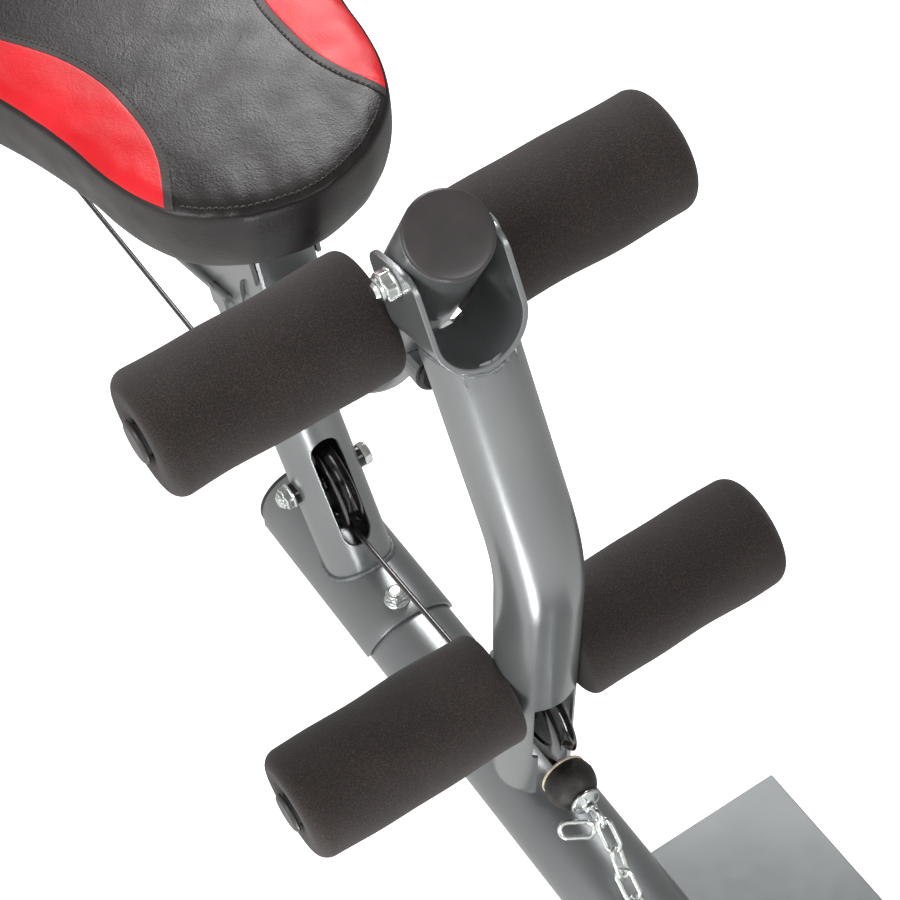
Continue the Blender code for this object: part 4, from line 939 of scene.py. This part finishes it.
class Pad:
    """A stuffed pad over an outline. Its top is seam + crown (1 - k^4) + shoulder, where k is the distance
    from the centre as a share of the outline's: it rolls over near the edge, nearly flat in the middle."""

    def __init__(self, outline, centre, low, seam, crown, foot_scale, foot_shift=0.0):
        self.outline, self.centre = outline, np.array(centre, float)
        self.low, self.seam, self.crown = low, seam, crown
        self.foot_scale, self.foot_shift = np.array(foot_scale), foot_shift
        away = outline - self.centre
        self.angles = np.arctan2(away[:, 0], -away[:, 1])
        order = np.argsort(self.angles)
        self.angles, self.reach = self.angles[order], np.linalg.norm(away, axis=1)[order]

    def polar(self, xy):
        """Distance of each point from the centre, and the outline's distance in the same direction."""
        away = xy - self.centre
        angle = np.arctan2(away[..., 0], -away[..., 1])
        reach = np.interp(angle, self.angles, self.reach, period=2 * math.pi)
        return np.linalg.norm(away, axis=-1), reach

    def held(self, xy, margin=0.0022):
        """The same points, drawn in where they come nearer the outline than a margin."""
        distance, reach = self.polar(xy)
        return self.centre + (xy - self.centre) * np.minimum(1, (reach - margin) / distance)[..., None]

    def top(self, xy):
        """Height of the top skin: edge roll, low crown, faint puckers that fade inwards, and a gathered patch
        at the front right corner."""
        distance, reach = self.polar(xy)
        depth = np.clip(reach - distance, 0, None)
        k = np.clip(distance / reach, 0, 1)
        roll = 0.0046 * (1 - np.exp(-depth / 0.0050))
        x, y = xy[..., 0], xy[..., 1]
        pucker = 0.00035 * np.sin(x * 410 + 2.1 * np.sin(y * 90)) * np.exp(-depth / 0.014)
        band = np.exp(-((depth - 0.030) / 0.022) ** 2)
        crease = 0.0003 * np.sin(x * 130 + y * 60 + 3 * np.sin(y * 35)) * band
        near = np.exp(-((x - CORNER[0]) ** 2 + (y - CORNER[1]) ** 2) / CORNER_R ** 2)
        gather = 0.00045 * np.sin((x + y) * 860) * near * np.exp(-depth / 0.020)
        return self.seam + roll + self.crown * (1 - k ** 4) + pucker + crease + gather

    def body(self):
        """Closed form: underside, foot, side wall that swells a little, seam, rolled edge and crowned top."""
        outline, centre = self.outline, self.centre
        foot = centre + (outline - centre) * self.foot_scale + (0.0, self.foot_shift)
        height = self.seam - self.low
        rows = [(foot, k, self.low) for k in (0.02, 0.5, 0.9)]
        rows += [(foot, 0.965, self.low), (foot, 0.990, self.low + 0.0012), (foot, 1.0, self.low + 0.0038)]
        points = [np.column_stack([centre + (line - centre) * k, np.full(len(line), z)])
                  for line, k, z in rows]
        for t in np.linspace(0.10, 0.97, 14):
            swell = 1 + 0.012 * math.sin(math.pi * t)
            line = foot + (outline - foot) * t ** 0.8
            z = np.full(len(line), self.low + 0.0038 + (height - 0.0038) * t)
            points.append(np.column_stack([centre + (line - centre) * swell, z]))
        z = np.full(len(outline), self.seam)
        points.append(np.column_stack([centre + (outline - centre) * 0.9965, z]))
        away = outline - centre
        reach = np.linalg.norm(away, axis=1)[:, None]
        for depth in (0.0010, 0.0022, 0.0040, 0.0065, 0.0100, 0.0140, 0.0190, EDGE_BAND):
            line = centre + away * (1 - depth / reach)
            points.append(np.column_stack([line, self.top(line)]))
        for share in np.linspace(0.92, 0.03, 26):
            line = centre + away * (1 - EDGE_BAND / reach) * share
            points.append(np.column_stack([line, self.top(line)]))
        return grid(np.array(points), poles=(True, True))

    def sheet(self, inner, outer, lift, rows=16):
        """Closed thin shell laid on the top between two curves: it stands proud by lift and rolls down to the
        skin at its edges."""
        t = np.concatenate([[0.0, 0.012], np.linspace(0.04, 0.96, rows), [0.988, 1.0]])[:, None, None]
        xy = inner * (1 - t) + outer * t
        z = self.top(xy)
        edge = np.ones(len(t))
        edge[[0, -1]] = -0.8
        edge[[1, -2]] = 0.6
        upper = np.concatenate([xy, (z + lift * edge[:, None])[..., None]], -1)
        lower = np.concatenate([xy, (z - 2.5 * lift)[..., None]], -1)[::-1]
        loop = np.concatenate([upper, lower])
        return grid(loop.transpose(1, 0, 2), poles=(True, True))

    def stitches(self, line, pitch=0.0042, lift=0.0004):
        """Row of lock stitches along a line on the top: short bars that dip at both ends."""
        travelled = arc_length(line)
        shells = []
        for start in np.arange(0.001, travelled[-1] - pitch, pitch):
            where = start + np.linspace(0, 0.72 * pitch, 5)
            xy = read_at(where, travelled, line)
            z = self.top(xy) + lift + 0.0004 * np.array((-1.6, 0.5, 0.8, 0.5, -1.6))
            shells.append(sweep(np.column_stack([xy, z]), 0.00042, 6))
        return join(*shells)


def dense_line(knots, count=80):
    """Smooth flat line through the knots."""
    return smooth_path(np.column_stack([np.array(knots, float), np.zeros(len(knots))]), count)[:, :2]


def upholster(name, pad, node, body, red_inner, red_outer_span, place):
    """Body, red side inserts with their binding, and stitching of one pad."""
    form = add_piece(name + "_cover", pad.body(), BLACK_VINYL, body, [node], sharp=70, place=place)
    for hand, side in (("left", -1), ("right", 1)):
        inner = dense_line(red_inner) * (side, 1)
        low, high = red_outer_span
        on_side = (pad.outline[:, 0] * side > 0) & (pad.outline[:, 1] > low) & (pad.outline[:, 1] < high)
        half = pad.outline[on_side]
        half = half[np.argsort(half[:, 1])]
        spot = np.linspace(0, 1, len(inner))
        outer = read_at(spot, np.linspace(0, 1, len(half)), half)
        away = outer - pad.centre
        outer = pad.centre + away * (1 - 0.0016 / np.linalg.norm(away, axis=1))[:, None]
        insert = add_piece(f"{name}_insert_{hand}", pad.sheet(pad.held(inner), pad.held(outer), 0.0005),
                           RED_VINYL, body, sharp=50, place=place)
        across = np.gradient(inner, axis=0)
        across = np.column_stack([across[:, 1], -across[:, 0]]) * side
        across /= np.linalg.norm(across, axis=1)[:, None]
        tape_edges = pad.held(inner - across * 0.0050), pad.held(inner + across * 0.0010)
        tape = add_piece(f"{name}_binding_{hand}", pad.sheet(*tape_edges, 0.0008, 5), BINDING, body, sharp=50,
                         place=place)
        seam = pad.held(inner - across * 0.0040, 0.0030)
        add_piece(f"{name}_binding_stitch_{hand}", pad.stitches(seam, lift=0.0010), THREAD, body, place=place)
    away = pad.outline - pad.centre
    line = pad.centre + away * (1 - 0.0055 / np.linalg.norm(away, axis=1))[:, None]
    half_way = len(line) // 2
    line = np.roll(line, half_way, axis=0)
    for end, kept in (("front", line[:, 1] < red_outer_span[0]), ("rear", line[:, 1] > red_outer_span[1])):
        run = line[kept] if end == "front" else np.roll(line, half_way, axis=0)[np.roll(kept, half_way)]
        add_piece(f"{name}_edge_stitch_{end}", pad.stitches(run, lift=0.0004), THREAD, body, place=place)


SEAT_HALF = [(0.0, -0.1280), (0.0360, -0.1190), (0.0530, -0.1090), (0.0670, -0.0970), (0.0790, -0.0810),
             (0.0905, -0.0520), (0.0970, -0.0220), (0.1020, 0.0150), (0.1160, 0.0770), (0.1400, 0.1550),
             (0.1450, 0.1950), (0.1300, 0.2280), (0.0900, 0.2400), (0.0, 0.2410)]


def build_seat():
    """Seat pad: nose at the front, wider at the rear, a red insert along each side."""
    pad = Pad(closed_outline(SEAT_HALF), (0.0, SEAT_CENTRE_Y), 0.4755, 0.5330, 0.0035, (0.952, 0.920), 0.0030)
    inner = [(0.0800, -0.0840), (0.0705, -0.0650), (0.0625, -0.0450), (0.0575, -0.0200), (0.0565, 0.0100),
             (0.0585, 0.0420), (0.0690, 0.0800), (0.0910, 0.1230), (0.1180, 0.1650), (0.1400, 0.1900)]
    upholster("seat", pad, "seat_pad", "frame", inner, (-0.0830, 0.1940), None)


def build_backrest():
    """Back pad in the seat's style, tilted with the backrest."""
    half = BACK_LENGTH / 2
    knots = [(0.0, -half), (0.0700, -half + 0.004), (0.1040, -half + 0.040), (0.1120, -0.1900),
             (0.1140, -0.1000), (0.1300, 0.1000), (0.1330, 0.1700), (0.1200, half - 0.0500),
             (0.0800, half - 0.0060), (0.0, half)]
    spine_rise, spine_half, board = 0.0020, 0.0150, 0.0120
    face = spine_rise + spine_half + GAP + board + GAP
    seam = face + BACK_PAD_T - 0.0070
    pad = Pad(closed_outline(knots, 440), (0.0, 0.0), face, seam, 0.0035, (0.955, 0.975))
    inner = [(0.1040, -0.2500), (0.0800, -0.2000), (0.0660, -0.1200), (0.0640, -0.0200), (0.0720, 0.0800),
             (0.0900, 0.1600), (0.1180, 0.2300)]
    middle = BACK_START + half
    along = np.array((0.0, math.cos(BACK_ANGLE), math.sin(BACK_ANGLE)))
    out = np.array((0.0, -math.sin(BACK_ANGLE), math.cos(BACK_ANGLE)))

    def place(verts):
        return (BACK_HINGE + OFFSET + verts[:, :1] * X + (verts[:, 1:2] + middle) * along
                + verts[:, 2:] * out)

    upholster("back", pad, "back_pad", "backrest", inner, (-0.2480, 0.2280), place)


# ---- carried-over nodes ------------------------------------------------------------------------

def dress_nodes():
    """Give each carried-over CAD node the material of the real piece."""
    kinds = {"silver_paint": PAINT, "zinc_hardware": ZINC, "brass_washer": BRASS, "black_plastic": CAP,
             "black_rubber": RUBBER, "foam": FOAM, "black_vinyl": BLACK_VINYL, "plywood": PLYWOOD}
    slot_of = {part["node"]: part["material_slot"] for part in frame["record"]["subparts"]}
    for name, node in frame["nodes"].items():
        node.data.materials.clear()
        node.data.materials.append(kinds[slot_of[name]])


# ---- studio ------------------------------------------------------------------------------------

def add_light(name, place, aim, size, power, colour="#ffffff"):
    """Rectangular soft box aimed at a point, itself out of the picture."""
    light = bpy.data.lights.new(name, "AREA")
    light.shape = "RECTANGLE"
    light.size, light.size_y = size
    light.energy = power
    light.color = linear(colour)[:3]
    lamp = bpy.data.objects.new(name, light)
    lamp.visible_camera = False
    lamp.location = place
    lamp.rotation_euler = (Vector(aim) - Vector(place)).to_track_quat("-Z", "Y").to_euler()
    bpy.context.scene.collection.objects.link(lamp)


BRIGHT_SIDE = (-0.66, -0.52, -0.54)           # direction the sky is brightest in
FLOOR_REACH = 9                               # half the side of the board


def build_studio():
    """White board that reflects in nothing, a sky brighter to one side, four lamps and the camera."""
    scene = bpy.context.scene
    scene.view_settings.view_transform = "Standard"
    world = bpy.data.worlds.new("studio_sky")
    world.use_nodes = True
    sky = world.node_tree.nodes["Background"]
    sky.inputs["Color"].default_value = linear("#fbfaf8")
    direction = add_node(world, "ShaderNodeTexCoord").outputs["Generated"]
    toward = add_node(world, "ShaderNodeVectorMath", {0: direction, 1: BRIGHT_SIDE},
                      operation="DOT_PRODUCT")
    glow = add_node(world, "ShaderNodeMapRange", {"Value": toward.outputs["Value"], "From Min": -1.0,
                                                  "From Max": 1.0, "To Min": 0.14, "To Max": 1.12})
    world.node_tree.links.new(glow.outputs["Result"], sky.inputs["Strength"])
    scene.world = world

    side = np.linspace(-FLOOR_REACH, FLOOR_REACH, 7)
    y, x = np.meshgrid(side, side, indexing="ij")
    verts, faces = grid(np.stack([x, y, np.zeros_like(x)], -1), wrap_cols=False)
    mesh = bpy.data.meshes.new("studio_floor")
    mesh.from_pydata(verts.tolist(), [], faces)
    mesh.materials.append(make_floor())
    floor = bpy.data.objects.new("studio_floor", mesh)
    scene.collection.objects.link(floor)
    floor.visible_diffuse = False
    floor.visible_glossy = False

    add_light("key_box", (1.2, 1.65, 2.25), (0.0, -0.3, 0.4), (1.2, 1.2), 55)
    add_light("left_box", (-2.2, -0.6, 2.0), (0.0, -0.4, 0.3), (1.0, 1.8), 34)
    add_light("low_strip", (-0.30, -0.78, 0.02), (0.0, -0.55, 0.45), (0.05, 0.40), 1.6)
    add_light("front_box", (0.6, -2.6, 1.8), (0.0, -0.4, 0.3), (1.6, 1.2), 22)

    camera = bpy.data.objects.new("camera", bpy.data.cameras.new("camera"))
    camera.data.sensor_width = 36.0
    camera.data.lens = 101.53
    right = Vector((0.8369, -0.5278, -0.1447))
    down = Vector((-0.4894, -0.6034, -0.6295))
    ahead = Vector((0.2449, 0.5978, -0.7633))
    turn = Matrix((right, -down, -ahead)).transposed().to_4x4()
    camera.matrix_world = Matrix.Translation((-0.3764, -1.3801, 1.5771)) @ turn
    scene.collection.objects.link(camera)
    scene.camera = camera


dress_nodes()
build_tubes()
build_developer()
build_hardware()
build_pulleys()
build_rollers()
build_caps()
build_cable()
build_seat()
build_backrest()
build_studio()
